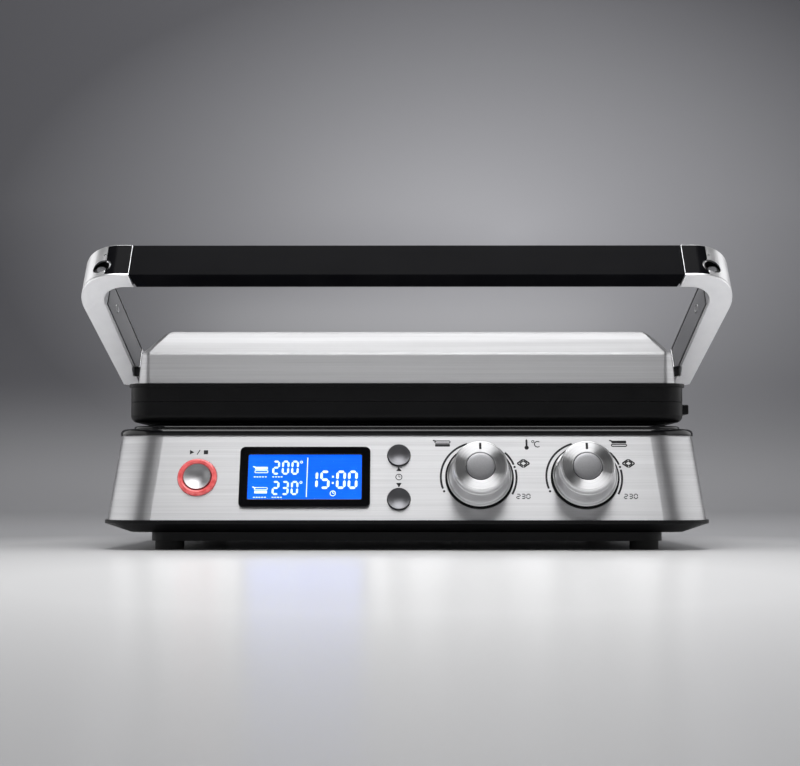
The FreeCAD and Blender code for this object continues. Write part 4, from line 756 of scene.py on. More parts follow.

# %% [markdown]
# The inlay itself is the same strip, a hair proud, with its end hollowed round the pocket. A dark sleeve
# lines the pocket as painted shade, so the screw sits in shade as it does on the real handle.

# %% Inlays and pocket sleeves of painted shade
INLAY_DEPTH, INLAY_PROUD = 1.2, 0.15
HOLLOW_RIM, HOLLOW_LOW, HOLLOW_HIGH = 1.4, 90, 130
SLEEVE_OUT, SLEEVE_IN = POCKET_RADIUS - 0.1, POCKET_RADIUS - 0.6
SLEEVE_FOOT, SLEEVE_FLOOR, SLEEVE_TOP = POCKET_FLOOR + 0.05, POCKET_FLOOR + 0.4, 112
SLEEVE_SECTION = [(SLEEVE_OUT, SLEEVE_FOOT), (SLEEVE_OUT, SLEEVE_TOP), (SLEEVE_IN, SLEEVE_TOP),
                  (SLEEVE_IN, SLEEVE_FLOOR), (0, SLEEVE_FLOOR), (0, SLEEVE_FOOT), (SLEEVE_OUT, SLEEVE_FOOT)]
SLEEVE_SUNK = 1.2 * MM


def corner_inlay(hand, place):
    """Gloss inlay with its hollow end."""
    hollow = rod(POCKET_RADIUS + HOLLOW_RIM, HOLLOW_LOW, HOLLOW_HIGH, POCKET_SPOT)
    shaped = mill(inlay_strip(INLAY_DEPTH, INLAY_PROUD), place, [hollow])
    finish_piece(shaped, f"inlay_{hand}", "lid", "inlay_black", stands_for=[f"corner_inlay_{hand}"])


def pocket_painted_shade(hand, place):
    """The dark sleeve of the screw pocket, painted shade, trimmed a little under the bend's face."""
    sleeve = turned(SLEEVE_SECTION, steps=ROD_STEPS)
    spot = Vector((*POCKET_SPOT, 0)) * MM
    bmesh.ops.translate(sleeve, verts=sleeve.verts, vec=spot)
    lean = math.asin((spot.x - bend_centre.x) / BEND_OUTSIDE)
    up = Vector((math.sin(lean), 0, math.cos(lean)))
    bmesh.ops.bisect_plane(sleeve, geom=everything(sleeve), plane_no=up, clear_outer=True,
                           plane_co=bend_centre + up * (BEND_OUTSIDE - SLEEVE_SUNK))
    # painted shade: the dark sleeve stands for the shade inside the pocket
    finish_piece(sleeve, f"pocket_painted_shade_{hand}", "lid", "moulded_black", place=place)


for hand, place in hands.items():
    corner_inlay(hand, place)
    pocket_painted_shade(hand, place)

# %% [markdown]
# The grip is one long black bar between the arms, a touch slimmer than they are. It is a block with its
# four long edges rounded and its ends only broken. Its ends slant, and a slimmer core runs on into the
# arms, so a dark wedge shows at each end.

# %% Grip bar
BAR_INSET, BAR_GAP = 0.1, 0.35
BAR_EDGE, BAR_END_EDGE = 0.9, 0.3
WEDGE = 1.5 * MM
CORE_INSET, CORE_REACH, CORE_EDGE = 1.6, 3, 0.8


def bar_block(half, inset):
    """A block along the bar, slimmer than it by an inset on each side, in millimetres."""
    return block((-half, inset, BAR_LOW / MM + inset),
                 (half, HANDLE_BAND / MM - inset, HANDLE_TOP / MM - inset))


def grip_bar():
    """The black bar between the arms, and the core that holds it."""
    half = BAR_END / MM - BAR_GAP
    bm = bar_block(half, BAR_INSET)
    long_edges = [edge for edge in bm.edges if abs(edge.verts[0].co.x - edge.verts[1].co.x) > half * MM]
    for corner in bm.verts:
        if corner.co.z < (BAR_LOW + HANDLE_TOP) / 2:
            corner.co.x -= math.copysign(END_SLANT + WEDGE, corner.co.x)
    soften(bm, long_edges, BAR_EDGE, 4)
    break_edges(bm, BAR_END_EDGE, 2)
    finish_piece(bm, "grip", "lid", "satin_black", place=handle_right, stands_for=["grip_bar"])
    core = bar_block(BAR_END / MM + CORE_REACH, CORE_INSET)
    break_edges(core, CORE_EDGE, 2)
    finish_piece(core, "grip_core", "lid", "moulded_black", place=handle_right)


grip_bar()

# %% [markdown]
# The lid's cover is drawn from one steel sheet: walls that lean in, a crease, a slope and a flat top with
# a soft round. It could be subdivided, but rings keep each height exact. Every ring is a rounded
# rectangle, the rings are bridged, the last is filled, and the sheet gets its thickness inwards. The
# slope draws in less at the ends than at the front, and its corners grow tighter towards the top.

# %% Lid cover
COVER_LEAN, WALL_RISE = 2.5, 21.5
END_DRAW, FRONT_DRAW = 16.0, 23.0
FOOT_RADIUS, CREASE_RADIUS, CROWN_RADIUS = 10.0, 6.5, 3.0
CORNER_STEPS = 8
ROUND_FROM, ROUND_TO, ROUND_RINGS = 0.8, 1.25, 6
CREASE_ROUND = 1.8
SHEET = 1.2
cover_low, cover_high = (Vector(corner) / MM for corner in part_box("lid_cover"))


def cover_ring(bm, end_draw, front_draw, radius, height):
    """A rounded rectangle drawn in from the cover's foot, as a closed ring of edges."""
    side = cover_high.x - end_draw - radius
    back, front = cover_high.y - front_draw - radius, cover_low.y + front_draw + radius
    ring = []
    for quarter, (x, y) in enumerate(((side, back), (-side, back), (-side, front), (side, front))):
        for step in range(CORNER_STEPS + 1):
            turn = (quarter + step / CORNER_STEPS) * math.pi / 2
            spot = Vector((x + radius * math.cos(turn), y + radius * math.sin(turn), height))
            ring.append(bm.verts.new(spot * MM))
    return [bm.edges.new(pair) for pair in zip(ring, ring[1:] + ring[:1])]


def slope_ring(bm, share, height):
    """A ring at a share of the slope's way in."""
    radius = CREASE_RADIUS + (CROWN_RADIUS - CREASE_RADIUS) * min(share, 1)
    return cover_ring(bm, COVER_LEAN + END_DRAW * share, COVER_LEAN + FRONT_DRAW * share, radius, height)


def lid_cover():
    """The steel cover, ring by ring."""
    bm = bmesh.new()
    crease, top = cover_low.z + WALL_RISE, cover_high.z
    rings = [cover_ring(bm, 0, 0, FOOT_RADIUS, cover_low.z), slope_ring(bm, 0, crease)]
    for step in range(ROUND_RINGS + 1):
        on = step / ROUND_RINGS
        slope_part, top_part = (1 - on) ** 2, on ** 2
        share = 1 + slope_part * (ROUND_FROM - 1) + top_part * (ROUND_TO - 1)
        rings.append(slope_ring(bm, share, top - slope_part * (1 - ROUND_FROM) * (top - crease)))
    for lower, upper in zip(rings, rings[1:]):
        bmesh.ops.bridge_loops(bm, edges=lower + upper)
    bmesh.ops.contextual_create(bm, geom=rings[-1])
    soften(bm, rings[1], CREASE_ROUND, 4)
    face_outwards(bm)
    bmesh.ops.solidify(bm, geom=list(bm.faces), thickness=SHEET * MM)
    finish_piece(bm, "cover_skin", "lid", "brushed_steel", stands_for=["lid_cover"])


lid_cover()

# %% [markdown]
# The controls sit on a sloped panel. Their axes are measured from the CAD: a frame whose X runs along the
# panel, Y up the slope and Z straight out of it. A control is then modelled lying flat and placed by
# one matrix.

# %% Panel frame
PANEL_LEAN = math.radians(22)
fascia_low, fascia_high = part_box("front_fascia")
panel = (Matrix.Translation((0, fascia_low.y, fascia_low.z))
         @ Matrix.Rotation(math.pi / 2 - PANEL_LEAN, 4, "X"))
control_row = (fascia_high.z - fascia_low.z) / math.cos(PANEL_LEAN) / 2 / MM


def centre_u(node):
    """A control's place along the panel in millimetres."""
    low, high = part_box(node)
    return (low.x + high.x) / 2 / MM


def on_panel(node, v=control_row, out=0.0):
    """Placing matrix for a control in millimetres, in the control row unless v is given."""
    return panel @ Matrix.Translation((centre_u(node) * MM, v * MM, out * MM))


print("control row is", round(control_row, 2), "mm up the slope")

# %% [markdown]
# Each dial is a turned aluminium cup on a black ring. From the foot up it has a collar, a groove, a
# tapered side, a bright chamfer and a flat face with a fine turned line near its edge. The section is
# spun, its rings are softened, and the UV map for the circular brushing is written from radius and
# angle.

# %% Dials
KNOB_SECTION = [(14, 1.6), (22.2, 1.6), (22.2, 2.5), (21.8, 2.9), (20.8, 3.0), (20.5, 3.3), (20.5, 4.2),
                (20.2, 4.6), (19.3, 15.2), (18.9, 15.4), (18.9, 15.9), (19.1, 16.1), (18.7, 18.9),
                (18.1, 19.8), (17.7, 20.0), (17.5, 19.7), (17.25, 19.7), (17.1, 20.0), (10.5, 20.0),
                (10.1, 19.6), (10.1, 15.2)]
KNOB_EDGE, KNOB_STEPS = 0.16, 128
POINTER = ((-0.8, 12.4, 19.9), (0.8, 17.0, 20.08))
POINTER_EDGE = 0.05


def write_turn_map(bm):
    """UV map: outwards and down along the first axis, round along the second."""
    layer = bm.loops.layers.uv.new(TURN_MAP)
    for face in bm.faces:
        turns = [math.atan2(loop.vert.co.y, loop.vert.co.x) / math.tau for loop in face.loops]
        wraps = max(turns) - min(turns) > 0.5
        for loop, turn in zip(face.loops, turns):
            radius = math.hypot(loop.vert.co.x, loop.vert.co.y)
            loop[layer].uv = (radius - loop.vert.co.z, turn + 1 if wraps and turn < 0 else turn)


def dial(hand):
    """One dial with its pointer."""
    node = f"dial_{hand}"
    place = on_panel(node)
    cup = turned(KNOB_SECTION, KNOB_EDGE, KNOB_STEPS)
    write_turn_map(cup)
    finish_piece(cup, f"knob_{hand}", body_of[node], "circle_brushed", place=place, stands_for=[node])
    mark = block(*POINTER)
    break_edges(mark, POINTER_EDGE, 1)
    finish_piece(mark, f"pointer_{hand}", body_of[node], "printed_ink", place=place, slot="moulded_black")


for hand in hands:
    dial(hand)

# %% [markdown]
# The push button in a dial's middle is a low satin dome. The start button and the two timer buttons are
# polished and dished for a finger, so the lamp overhead shows in their lower half and the dark room in
# the upper. A button is a section of a few points whose face rises or sinks towards the axis.

# %% Push buttons
RIM_ROUND, RIM_BREAK, FACE_RINGS = 0.5, 0.15, 7
TIMER_SPLIT = 16.2
# Radius, foot, height of the rim and rise of the face, in millimetres
START_SHAPE = (9.4, -2.0, 2.2, -2.2)
TIMER_SHAPE = (7.8, -2.0, 1.9, -1.6)
CENTRE_SHAPE = (9.7, 15.8, 20.3, 0.4)


def button_section(radius, foot, rim_height, rise):
    """Section of a round button: skirt, rounded rim and a face that rises or sinks to the axis."""
    section = [(radius, foot), (radius, rim_height - RIM_ROUND), (radius - RIM_BREAK, rim_height - RIM_BREAK)]
    for step in range(1, FACE_RINGS + 1):
        share = 1 - step / FACE_RINGS
        section.append(((radius - RIM_ROUND) * share, rim_height + rise * (1 - share * share)))
    return section


def button(name, node, shape, look, v=control_row):
    """A push button that stands for a CAD button."""
    finish_piece(turned(button_section(*shape)), name, body_of[node], look, place=on_panel(node, v),
                 stands_for=[node], sharp=SQUARE)


button("start_dish", "start_button", START_SHAPE, "bright_metal")
for way, split in (("up", TIMER_SPLIT), ("down", -TIMER_SPLIT)):
    button(f"timer_{way}_dish", f"timer_{way}_button", TIMER_SHAPE, "button_grey", control_row + split)
for hand in hands:
    button(f"dial_dome_{hand}", f"dial_centre_{hand}", CENTRE_SHAPE, "dial_satin")

# %% [markdown]
# The light ring is a half-round of cloudy plastic between the button and the steel.

# %% Light ring
RING_SECTION = [(9.9, -1.0), (9.9, 0.9), (10.3, 1.5), (11.0, 1.9), (11.8, 2.0), (12.6, 1.8), (13.2, 1.3),
                (13.6, 0.4), (13.6, -1.0), (9.9, -1.0)]
finish_piece(turned(RING_SECTION), "light_ring", "base", "red_light", place=on_panel("start_ring"),
             stands_for=["start_ring"])

# %% [markdown]
# The display's frame is a gloss black tile with rounded corners and a nearly square window. Two flat
# sheets give the outer and the inner outline, a bridge between their edges makes the frame, and it is
# drawn up and softened.

# %% Display frame
FRAME_SIZE, FRAME_CORNER = (90, 45), 3.8
WINDOW_SIZE, WINDOW_CORNER = (78, 33), 0.8
FRAME_PROUD, FRAME_SUNK, FRAME_EDGE = 1.4, 0.02, 0.6
SHEET_STEPS = 8


def rounded_sheet(bm, width, height, corner):
    """A flat rounded rectangle in millimetres."""
    corners = bmesh.ops.create_grid(bm, x_segments=1, y_segments=1, size=0.5 * MM,
                                    matrix=Matrix.Diagonal((width, height, 1, 1)))["verts"]
    round_corners(bm, corners, corner * MM, SHEET_STEPS)


def display_frame():
    """Gloss tile round the window."""
    bm = bmesh.new()
    rounded_sheet(bm, *FRAME_SIZE, FRAME_CORNER)
    rounded_sheet(bm, *WINDOW_SIZE, WINDOW_CORNER)
    bmesh.ops.delete(bm, geom=list(bm.faces), context="FACES_ONLY")
    bmesh.ops.bridge_loops(bm, edges=list(bm.edges))
    thicken(bm, (0, 0, FRAME_PROUD * MM))
    top = [edge for edge in sharp_edges(bm, SQUARE)
           if min(vert.co.z for vert in edge.verts) > FRAME_PROUD / 2 * MM]
    soften(bm, top, FRAME_EDGE, 3)
    finish_piece(bm, "display_frame", "base", "gloss_black", stands_for=["display_bezel"],
                 place=on_panel("display_bezel", out=-FRAME_SUNK))


display_frame()

# %% [markdown]
# Figures on the display are bars: a digit is a choice of seven of them. The same bars, smaller, print the
# numbers on the panel. A bar is a flat six-sided strip with pointed ends. All strokes lie flat in one
# bmesh, and one extrude at the end gives them a little thickness.

# %% Stroke helpers
SEGMENTS = {"a": ((0, 2), (1, 2)), "b": ((1, 2), (1, 1)), "c": ((1, 1), (1, 0)), "d": ((0, 0), (1, 0)),
            "e": ((0, 0), (0, 1)), "f": ((0, 1), (0, 2)), "g": ((0, 1), (1, 1))}
DIGITS = {"0": "abcdef", "1": "bc", "2": "abged", "3": "abgcd", "5": "afgcd"}
SLANT = 0.03
STROKE_TRIM = 0.06
BLUNT = 0.2
ARC_DEGREES = 4


def bar(bm, start, end, width, point=1.0):
    """A strip between two spots in millimetres; point is how sharp its ends are."""
    begin, finish = Vector((*start, 0)) * MM, Vector((*end, 0)) * MM
    along = (finish - begin).normalized() * width * MM / 2
    across = Vector((-along.y, along.x, 0))
    along = along * point
    spots = [begin, begin + along + across, finish - along + across, finish, finish - along - across,
             begin + along - across]
    flat_face(bm, spots)


def bar_loop(bm, spots, width):
    """Bars from spot to spot and back to the first."""
    for first, second in zip(spots, spots[1:] + spots[:1]):
        bar(bm, first, second, width)


def number(bm, text, corner, width, height, stroke, pitch):
    """Digits of seven bars, from a low left corner in millimetres."""
    for place, digit in enumerate(text):
        for name in DIGITS[digit]:
            ends = []
            for across, up in SEGMENTS[name]:
                rise = up * height / 2
                ends.append((corner[0] + place * pitch + across * width + rise * SLANT, corner[1] + rise))
            first = [a + (b - a) * STROKE_TRIM for a, b in zip(*ends)]
            last = [b + (a - b) * STROKE_TRIM for a, b in zip(*ends)]
            bar(bm, first, last, stroke)


def arc(bm, centre, radius, width, start=0, end=360):
    """A thin ring or a sector of one, spun from a short edge; angles in degrees."""
    turn = Matrix.Rotation(math.radians(start), 4, "Z")
    middle = Vector((*centre, 0)) * MM
    sides = (radius - width / 2, radius + width / 2)
    ends = [bm.verts.new(middle + turn @ Vector((side * MM, 0, 0))) for side in sides]
    edge = bm.edges.new(ends)
    bmesh.ops.spin(bm, geom=[edge, *ends], cent=middle, axis=(0, 0, 1), angle=math.radians(end - start),
                   steps=max(4, int(abs(end - start) / ARC_DEGREES)))


def dot(bm, centre, radius, segments=20, turn=0.0):
    """A filled disc, or a triangle with three segments."""
    place = Matrix.Translation((centre[0] * MM, centre[1] * MM, 0)) @ Matrix.Rotation(turn, 4, "Z")
    bmesh.ops.create_circle(bm, cap_ends=True, segments=segments, radius=radius * MM, matrix=place)


def raise_strokes(bm, bottom, thickness):
    """Gives flat strokes their height above the panel, in millimetres."""
    bmesh.ops.translate(bm, verts=bm.verts, vec=(0, 0, bottom * MM))
    thicken(bm, (0, 0, thickness * MM))


# %% [markdown]
# The lit figures show two plate temperatures on the left and the time on the right of a thin divider. They
# lie in the gap between the blue panel and the lens. Small plate signs stand before the temperatures.

# %% Display figures
FIGURE_BOTTOM, FIGURE_THICKNESS = -0.47, 0.1
CLOCK_RING, CLOCK_HAND = 0.55, 0.5
LONG_HAND, SHORT_HAND = 0.75, 0.6
PLATE_HIGH, PLATE_STEP = 2.0, 2.5
PLATE_LENGTH, LIT_PLATE_LENGTH = 10.4, 8.8
PLATE_HANDLE, HANDLE_STROKE = ((-1.6, 2.4), (1.0, 1.4)), 1.5
DASH_PITCH, DASH_SHARE, DASH_WIDTH = 1.9, 0.7, 0.7
TEMPERATURES = {"200": 2.7, "230": -12.4}
# Width, height and stroke of a digit, and the pitch to the next
TEMPERATURE_DIGIT = (3.7, 9.0, 1.35, 6.5)
TIME_DIGIT = (4.9, 11.8, 1.75, 8.1)
DIGITS_LEFT, DEGREE_LEFT, DEGREE_RISE = -21.9, -2.6, 8.6
DASH_ROWS, DASH_DROP = ((-35.2, 5), (-22.4, 4)), 2.4
LIT_PLATES_LEFT, LIT_PLATES, LIT_STROKE = -34.4, ((3.2, True), (-11.9, False)), 0.5
TIME, TIME_LOW = {"15": 3.1, "00": 22.2}, -7.7
COLON_LEFT, COLON_HEIGHTS, COLON_RADIUS = 19.3, (-4.2, 0.4), 0.95
DIVIDER, DIVIDER_WIDTH = ((1.3, -14.6), (1.7, 14.6)), 0.6
LIT_CLOCK, LIT_CLOCK_RADIUS = (19.4, -11.9), 1.8


def clock_sign(bm, centre, radius):
    """A ring with two hands."""
    x, y = centre
    arc(bm, centre, radius, CLOCK_RING)
    bar(bm, centre, (x, y + radius * LONG_HAND), CLOCK_HAND)
    bar(bm, centre, (x + radius * SHORT_HAND, y), CLOCK_HAND)


def plate_sign(bm, corner, stroke, upper, length=PLATE_LENGTH):
    """A pair of grill plates: one filled, one in outline, and a handle on the upper one."""
    x, y = corner
    top = y + PLATE_STEP
    filled, outlined = (top, y) if upper else (y, top)
    middle, low, high = filled + PLATE_HIGH / 2, outlined + BLUNT, outlined + PLATE_HIGH - BLUNT
    bar(bm, (x, middle), (x + length, middle), PLATE_HIGH, BLUNT)
    bar_loop(bm, [(x, low), (x + length, low), (x + length, high), (x, high)], stroke)
    ends = [(x + across, top + up) for across, up in PLATE_HANDLE]
    bar(bm, *ends, stroke * HANDLE_STROKE)


def dashes(bm, start, count):
    """A row of short dashes."""
    for step in range(count):
        left = start[0] + step * DASH_PITCH
        bar(bm, (left, start[1]), (left + DASH_PITCH * DASH_SHARE, start[1]), DASH_WIDTH, BLUNT)


def display_figures():
    """Everything that is lit on the display."""
    bm = bmesh.new()
    for text, low in TEMPERATURES.items():
        number(bm, text, (DIGITS_LEFT, low), *TEMPERATURE_DIGIT)
        arc(bm, (DEGREE_LEFT, low + DEGREE_RISE), 0.75, 0.45)
        for left, count in DASH_ROWS:
            dashes(bm, (left, low - DASH_DROP), count)
    for low, upper in LIT_PLATES:
        plate_sign(bm, (LIT_PLATES_LEFT, low), LIT_STROKE, upper, LIT_PLATE_LENGTH)
    for text, left in TIME.items():
        number(bm, text, (left, TIME_LOW), *TIME_DIGIT)
    for height in COLON_HEIGHTS:
        dot(bm, (COLON_LEFT, height), COLON_RADIUS, 4, math.pi / 4)
    bar(bm, *DIVIDER, DIVIDER_WIDTH, BLUNT)
    clock_sign(bm, LIT_CLOCK, LIT_CLOCK_RADIUS)
    raise_strokes(bm, FIGURE_BOTTOM, FIGURE_THICKNESS)
    finish_piece(bm, "display_figures", "base", "figure_light", place=on_panel("display_lens"),
                 slot="display_blue")


display_figures()

# %% [markdown]
# The signs on the steel are screen printed: broken arcs round the dials, plate signs, a thermometer,
# small diamonds, two arrows with a clock between the timer buttons, and a plain start and stop sign over
# the light ring. They are thin strokes that stand a few hundredths of a millimetre proud.

# %% Printed signs
INK_BOTTOM, INK_THICKNESS = -0.05, 0.09
SCALE_SHIFT, SCALE_RADIUS, SCALE_STROKE, SCALE_DOT = -0.6, 26.0, 1.4, 0.85
SCALE_ARCS, SCALE_DOTS = ((107, 199), (21, 45), (-29, 12.5)), (203.6, 17)
PRINTED_DIGIT = (2.2, 3.2, 0.65, 3.4)
NUMBER_ROW, DIAMOND_ROW, PLATE_ROW, THERMOMETER_ROW, START_ROW = 15.8, 41.8, 54.4, 53.6, 50.2
TIMER_ROW, ARROW_SHIFT, ARROW_RADIUS = 31.7, 5.5, 2.2
DIAMONDS, DIAMOND_SHARE = ((4.4, 1.0), (2.6, 0.9)), 0.7
NUMBER_LEFT, DIAMOND_MIDDLE = {"left": 75.2, "right": 148.6}, {"left": 80.4, "right": 152.8}
PLATE_SIGNS, PLATE_STROKE = ((19.6, False), (141.8, True)), 0.7
THERMOMETER_LEFT, PRINTED_CLOCK_RADIUS = 83.0, 2.1


def dial_scale(bm, u, number_u):
    """The broken arc, its dots and the number at its end."""
    x, y = u + SCALE_SHIFT, control_row
    for start, end in SCALE_ARCS:
        arc(bm, (x, y), SCALE_RADIUS, SCALE_STROKE, start, end)
    for angle in SCALE_DOTS:
        turn = math.radians(angle)
        dot(bm, (x + SCALE_RADIUS * math.cos(turn), y + SCALE_RADIUS * math.sin(turn)), SCALE_DOT)
    number(bm, "230", (number_u, NUMBER_ROW), *PRINTED_DIGIT)


def diamond_sign(bm, x, y):
    """Two nested diamonds."""
    for wide, stroke in DIAMONDS:
        high = wide * DIAMOND_SHARE
        bar_loop(bm, [(x + wide, y), (x, y + high), (x - wide, y), (x, y - high)], stroke)


def thermometer_sign(bm, x, y):
    """A bulb, a stem and a degree sign."""
    dot(bm, (x, y), 1.5)
    bar(bm, (x, y), (x, y + 6.4), 1.3)
    arc(bm, (x + 4.4, y + 4.6), 0.8, 0.5)
    arc(bm, (x + 7.6, y + 2.6), 2.1, 0.7, 50, 310)


def timer_sign(bm, u):
    """Two arrows with a clock between them."""
    dot(bm, (u, TIMER_ROW + ARROW_SHIFT), ARROW_RADIUS, 3)
    dot(bm, (u, TIMER_ROW - ARROW_SHIFT), ARROW_RADIUS, 3, math.pi)
    clock_sign(bm, (u, TIMER_ROW), PRINTED_CLOCK_RADIUS)


def start_sign(bm, u):
    """A triangle, a stroke and a square."""
    dot(bm, (u - 5.0, START_ROW), 2.0, 3, -math.pi / 2)
    bar(bm, (u - 1.0, START_ROW - 1.8), (u + 1.0, START_ROW + 1.8), 0.6, BLUNT)
    bar(bm, (u + 3.6, START_ROW), (u + 6.6, START_ROW), 3.0, 0.0)


def printed_signs():
    """All the printed strokes on the panel."""
    bm = bmesh.new()
    for hand in ("left", "right"):
        dial_scale(bm, centre_u(f"dial_{hand}"), NUMBER_LEFT[hand])
        diamond_sign(bm, DIAMOND_MIDDLE[hand], DIAMOND_ROW)
    for plate_u, upper in PLATE_SIGNS:
        plate_sign(bm, (plate_u, PLATE_ROW), PLATE_STROKE, upper)
    thermometer_sign(bm, THERMOMETER_LEFT, THERMOMETER_ROW)
    timer_sign(bm, centre_u("timer_up_button"))
    start_sign(bm, centre_u("start_button"))
    raise_strokes(bm, INK_BOTTOM, INK_THICKNESS)
    finish_piece(bm, "printed_signs", "base", "printed_ink", place=panel, slot="moulded_black")


printed_signs()

# %% [markdown]
# The remaining parts that show their edges get rounded copies: the hinge arms with their screws and
# spacers, the towers, the shaft's caps, the latches, the cord gland, the lid's shell, the tray and the
# plates with their ribs. The latches are also drawn out a little, so that a finger finds them.

# %% Rounded copies
LATCH_REACH = 2.0
ROUNDED = {"hinge_arm_left": 0.6, "hinge_arm_right": 0.6, "hinge_tower_left": 1.0, "hinge_tower_right": 1.0,
           "lower_latch": 0.9, "upper_latch": 0.9,
           "arm_screws": 0.6, "arm_spacers": 0.6, "shaft_caps": 0.8, "cord_gland": 0.7,
           "lid_shell": 0.5, "drip_tray": 0.5, "lower_plate": 0.6, "upper_plate": 0.6}
for node, width in ROUNDED.items():
    rounded_copy(node, body_of[node], slot_of[node], width,
                 reach=LATCH_REACH if node.endswith("latch") else 0.0)

# %% [markdown]
# The tub breathes through two vents in its back. Each is a moulded plate, a little proud of the wall, with
# a row of upright slots milled through it.

# %% Rear vents
REAR_WALL = 185.2
VENT_MIDDLE = (126, 62)
VENT_WIDE, VENT_HIGH, VENT_PROUD, VENT_SUNK = 80, 20, 1.1, 0.4
VENT_SLOTS, VENT_PITCH = 12, 6.0
VENT_SLOT = Vector((2.6, 8, 13))
VENT_EDGE, SLOT_EDGE = 0.5, 0.3


def rear_vent(hand, side):
    """One louvred plate on the back."""
    x, z = VENT_MIDDLE[0] * side, VENT_MIDDLE[1]
    plate = block((x - VENT_WIDE / 2, REAR_WALL - VENT_SUNK, z - VENT_HIGH / 2),
                  (x + VENT_WIDE / 2, REAR_WALL + VENT_PROUD, z + VENT_HIGH / 2))
    break_edges(plate, VENT_EDGE, 3)
    slots = []
    for index in range(VENT_SLOTS):
        middle = Vector((x + (index - (VENT_SLOTS - 1) / 2) * VENT_PITCH, REAR_WALL, z))
        slots.append(block(middle - VENT_SLOT / 2, middle + VENT_SLOT / 2))
    milled = mill(plate, Matrix(), slots)
    break_edges(milled, SLOT_EDGE, 2)
    finish_piece(milled, f"rear_vent_{hand}", "base", "moulded_black")


for hand, side in (("right", 1), ("left", -1)):
    rear_vent(hand, side)

# %% [markdown]
# The studio is one sweep of paper: a pale floor that curves up into a grey wall with a painted glow in
# its middle. The sweep is a folded strip with its fold bevelled. Its colour is a gradient on object
# coordinates that paints light and shade: palest in a painted pool of light before the grill, greyer far
# back in painted shade, and darker up the wall in painted shade away from the painted glow. The paper is
# smooth enough to mirror the lit display faintly.

# %% Floor and backdrop
FLOOR_FRONT, FLOOR_BACK, WALL_TOP, HALF_WIDTH = -2.6, 2.6, 3.2, 3.6
SWEEP, SWEEP_STEPS = 0.7, 24
FAR_FROM, FAR_TO = -0.2, 2.4
WALL_FROM, WALL_TO = 0.0, 0.3
# painted shade: the paper far back is greyer
FAR_PAINTED_SHADE = (0.62, 0.62, 0.64, 1)
# Shift and scale that put a spot at the origin: first the centre of the painted glow on the wall, then the
# centre of the painted pool of light on the floor
PAINTED_WALL_GLOW = ((-0.2, 0, -0.94), (0.8, 0, 1.5))
PAINTED_FLOOR_POOL = ((0, 0.44, 0), (1.0, 0.8, 0))


def away_from(tree, shift, scale):
    """How far a place is from a spot, with the axes scaled."""
    moved = add(tree, "Mapping", {"Vector": coordinates(tree), "Location": shift, "Scale": scale})
    return add(tree, "VectorMath", {"Vector": moved.outputs["Vector"]}, operation="LENGTH").outputs["Value"]


def blend(tree, share, first, second):
    """Mixes two colours by a share."""
    return add(tree, "MixRGB", {"Fac": share, "Color1": first, "Color2": second}).outputs["Color"]


def paper():
    """Pale paper with painted light: a painted pool before the grill, painted shade far back and up the wall,
    and a painted glow on the wall.
    """
    tree, shader = new_finish("paper_with_painted_light", specular_ior_level=0.4, roughness=0.26)
    axes = add(tree, "SeparateXYZ", {"Vector": coordinates(tree)}).outputs
    # painted light and shade: greyer far back, a glow on the wall that darkens away from it, and a pool of
    # light before the grill
    far = between(tree, axes["Y"], 0, 1, FAR_FROM, FAR_TO)
    rise = between(tree, axes["Z"], 0, 1, WALL_FROM, WALL_TO, interpolation_type="SMOOTHSTEP")
    wall = tint(tree, away_from(tree, *PAINTED_WALL_GLOW), (0.74, 0.74, 0.775), (0.18, 0.18, 0.195), 0.0, 0.95)
    near = tint(tree, away_from(tree, *PAINTED_FLOOR_POOL), (0.98, 0.98, 0.985), (0.4, 0.4, 0.41), 0.18, 0.68)
    connect(tree, shader, base_color=blend(tree, rise, blend(tree, far, near, FAR_PAINTED_SHADE), wall))


def studio_sweep():
    """Floor and wall in one piece."""
    bm = bmesh.new()
    spots = [(FLOOR_FRONT, 0), (FLOOR_BACK, 0), (FLOOR_BACK, WALL_TOP)]
    line = [bm.verts.new((-HALF_WIDTH, y, z)) for y, z in spots]
    edges = [bm.edges.new(pair) for pair in zip(line, line[1:])]
    grown = bmesh.ops.extrude_edge_only(bm, edges=edges)["geom"]
    bmesh.ops.translate(bm, verts=of_kind(grown, bmesh.types.BMVert), vec=(2 * HALF_WIDTH, 0, 0))
    break_edges(bm, SWEEP / MM, SWEEP_STEPS)
    mesh = into_mesh(bm, "studio_sweep")
    mesh.shade_smooth()
    mesh.materials.append(finishes["paper_with_painted_light"])
    sweep = into_scene("studio_sweep", mesh)


paper()
studio_sweep()

# %% [markdown]
# One large soft box hangs over the front of the grill, a weak one behind it, and a wide one stands on each
# side. The brushed steel spreads the upper box over the panel, and the side boxes show as bright bands on
# its corners with a dark gap between. A last box washes the wall. The room itself is dim, and darkest
# halfway up, which is what the dark parts of the dials' bow ties show.

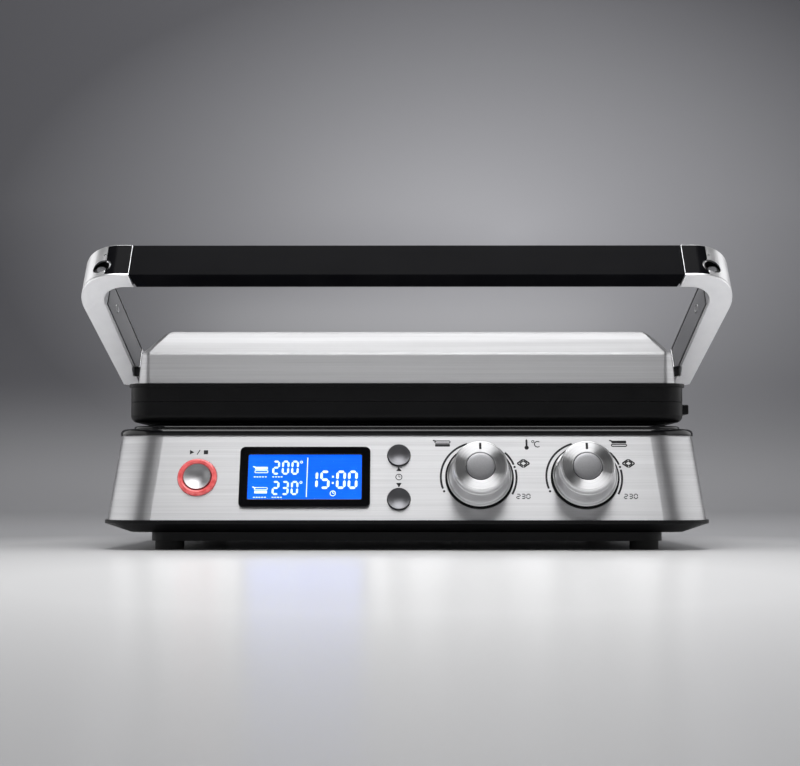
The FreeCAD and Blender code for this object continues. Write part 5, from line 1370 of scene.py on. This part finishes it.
# %% Lamps and world
# Place, aim, width and height in metres, and power in watts
LAMPS = {
    "box_above": ((0, -0.36, 1.25), (0, -0.35, 0), (0.88, 1.2), 16.2),
    "box_behind": ((0, 0.6, 1.3), (0, 0.5, 0), (2.2, 0.9), 1.0),
    "box_left": ((-1.3, -0.05, 0.62), (0, -0.05, 0.5), (2.3, 1.0), 7.7),
    "box_right": ((1.3, -0.05, 0.62), (0, -0.05, 0.5), (2.3, 1.0), 7.7),
    "wall_wash": ((0, 1.3, 2.1), (0, 2.6, 0.8), (1.4, 0.5), 10.4),
}
LOW_LIGHT, HIGH_LIGHT = (0.46, 0.46, 0.47, 1), (0.3, 0.3, 0.31, 1)
DIM_HEIGHTS = {0.5: 0.05, 0.82: 0.03}


def soft_box(name, spot, aim, size, power):
    """A rectangular area lamp that faces a spot."""
    lamp = bpy.data.lights.new(name, "AREA")
    lamp.shape = "RECTANGLE"
    lamp.size, lamp.size_y = size
    lamp.energy = power
    holder = into_scene(name, lamp)
    holder.location = spot
    holder.rotation_euler = (Vector(aim) - Vector(spot)).to_track_quat("-Z", "Y").to_euler()


def studio_world():
    """A dim room that is lighter near the floor and straight above."""
    world = bpy.data.worlds.new("studio")
    world.use_nodes = True
    tree = world.node_tree
    rise = add(tree, "SeparateXYZ", {"Vector": coordinates(tree, "Generated")}).outputs["Z"]
    ramp = add(tree, "ValToRGB", {"Fac": rise})
    stops = ramp.color_ramp.elements
    stops[0].color, stops[1].color = LOW_LIGHT, HIGH_LIGHT
    for height, light in DIM_HEIGHTS.items():
        stops.new(height).color = (light, light, light, 1)
    tree.links.new(ramp.outputs["Color"], tree.nodes["Background"].inputs["Color"])
    return world


for name, lamp in LAMPS.items():
    soft_box(name, *lamp)
bpy.context.scene.world = studio_world()
bpy.context.scene.view_settings.view_transform = "Standard"
print("lit by", ", ".join(LAMPS))

# %% [markdown]
# The camera stands low in front, a little over a metre away, tipped up by about three degrees. Its place
# and focal length were fitted to the corners of the grill in the photograph.

# %% Camera
CAMERA_SPOT = (-0.0005, -1.3696, 0.0417)
CAMERA_TIP = 3.459
CAMERA_TURN = 0.196
FOCAL_LENGTH, SENSOR_WIDTH = 78.88, 36
camera_data = bpy.data.cameras.new("camera")
camera_data.lens = FOCAL_LENGTH
camera_data.sensor_width = SENSOR_WIDTH
camera = into_scene("camera", camera_data)
camera.location = CAMERA_SPOT
camera.rotation_euler = (math.radians(90 + CAMERA_TIP), 0, math.radians(CAMERA_TURN))
bpy.context.scene.camera = camera
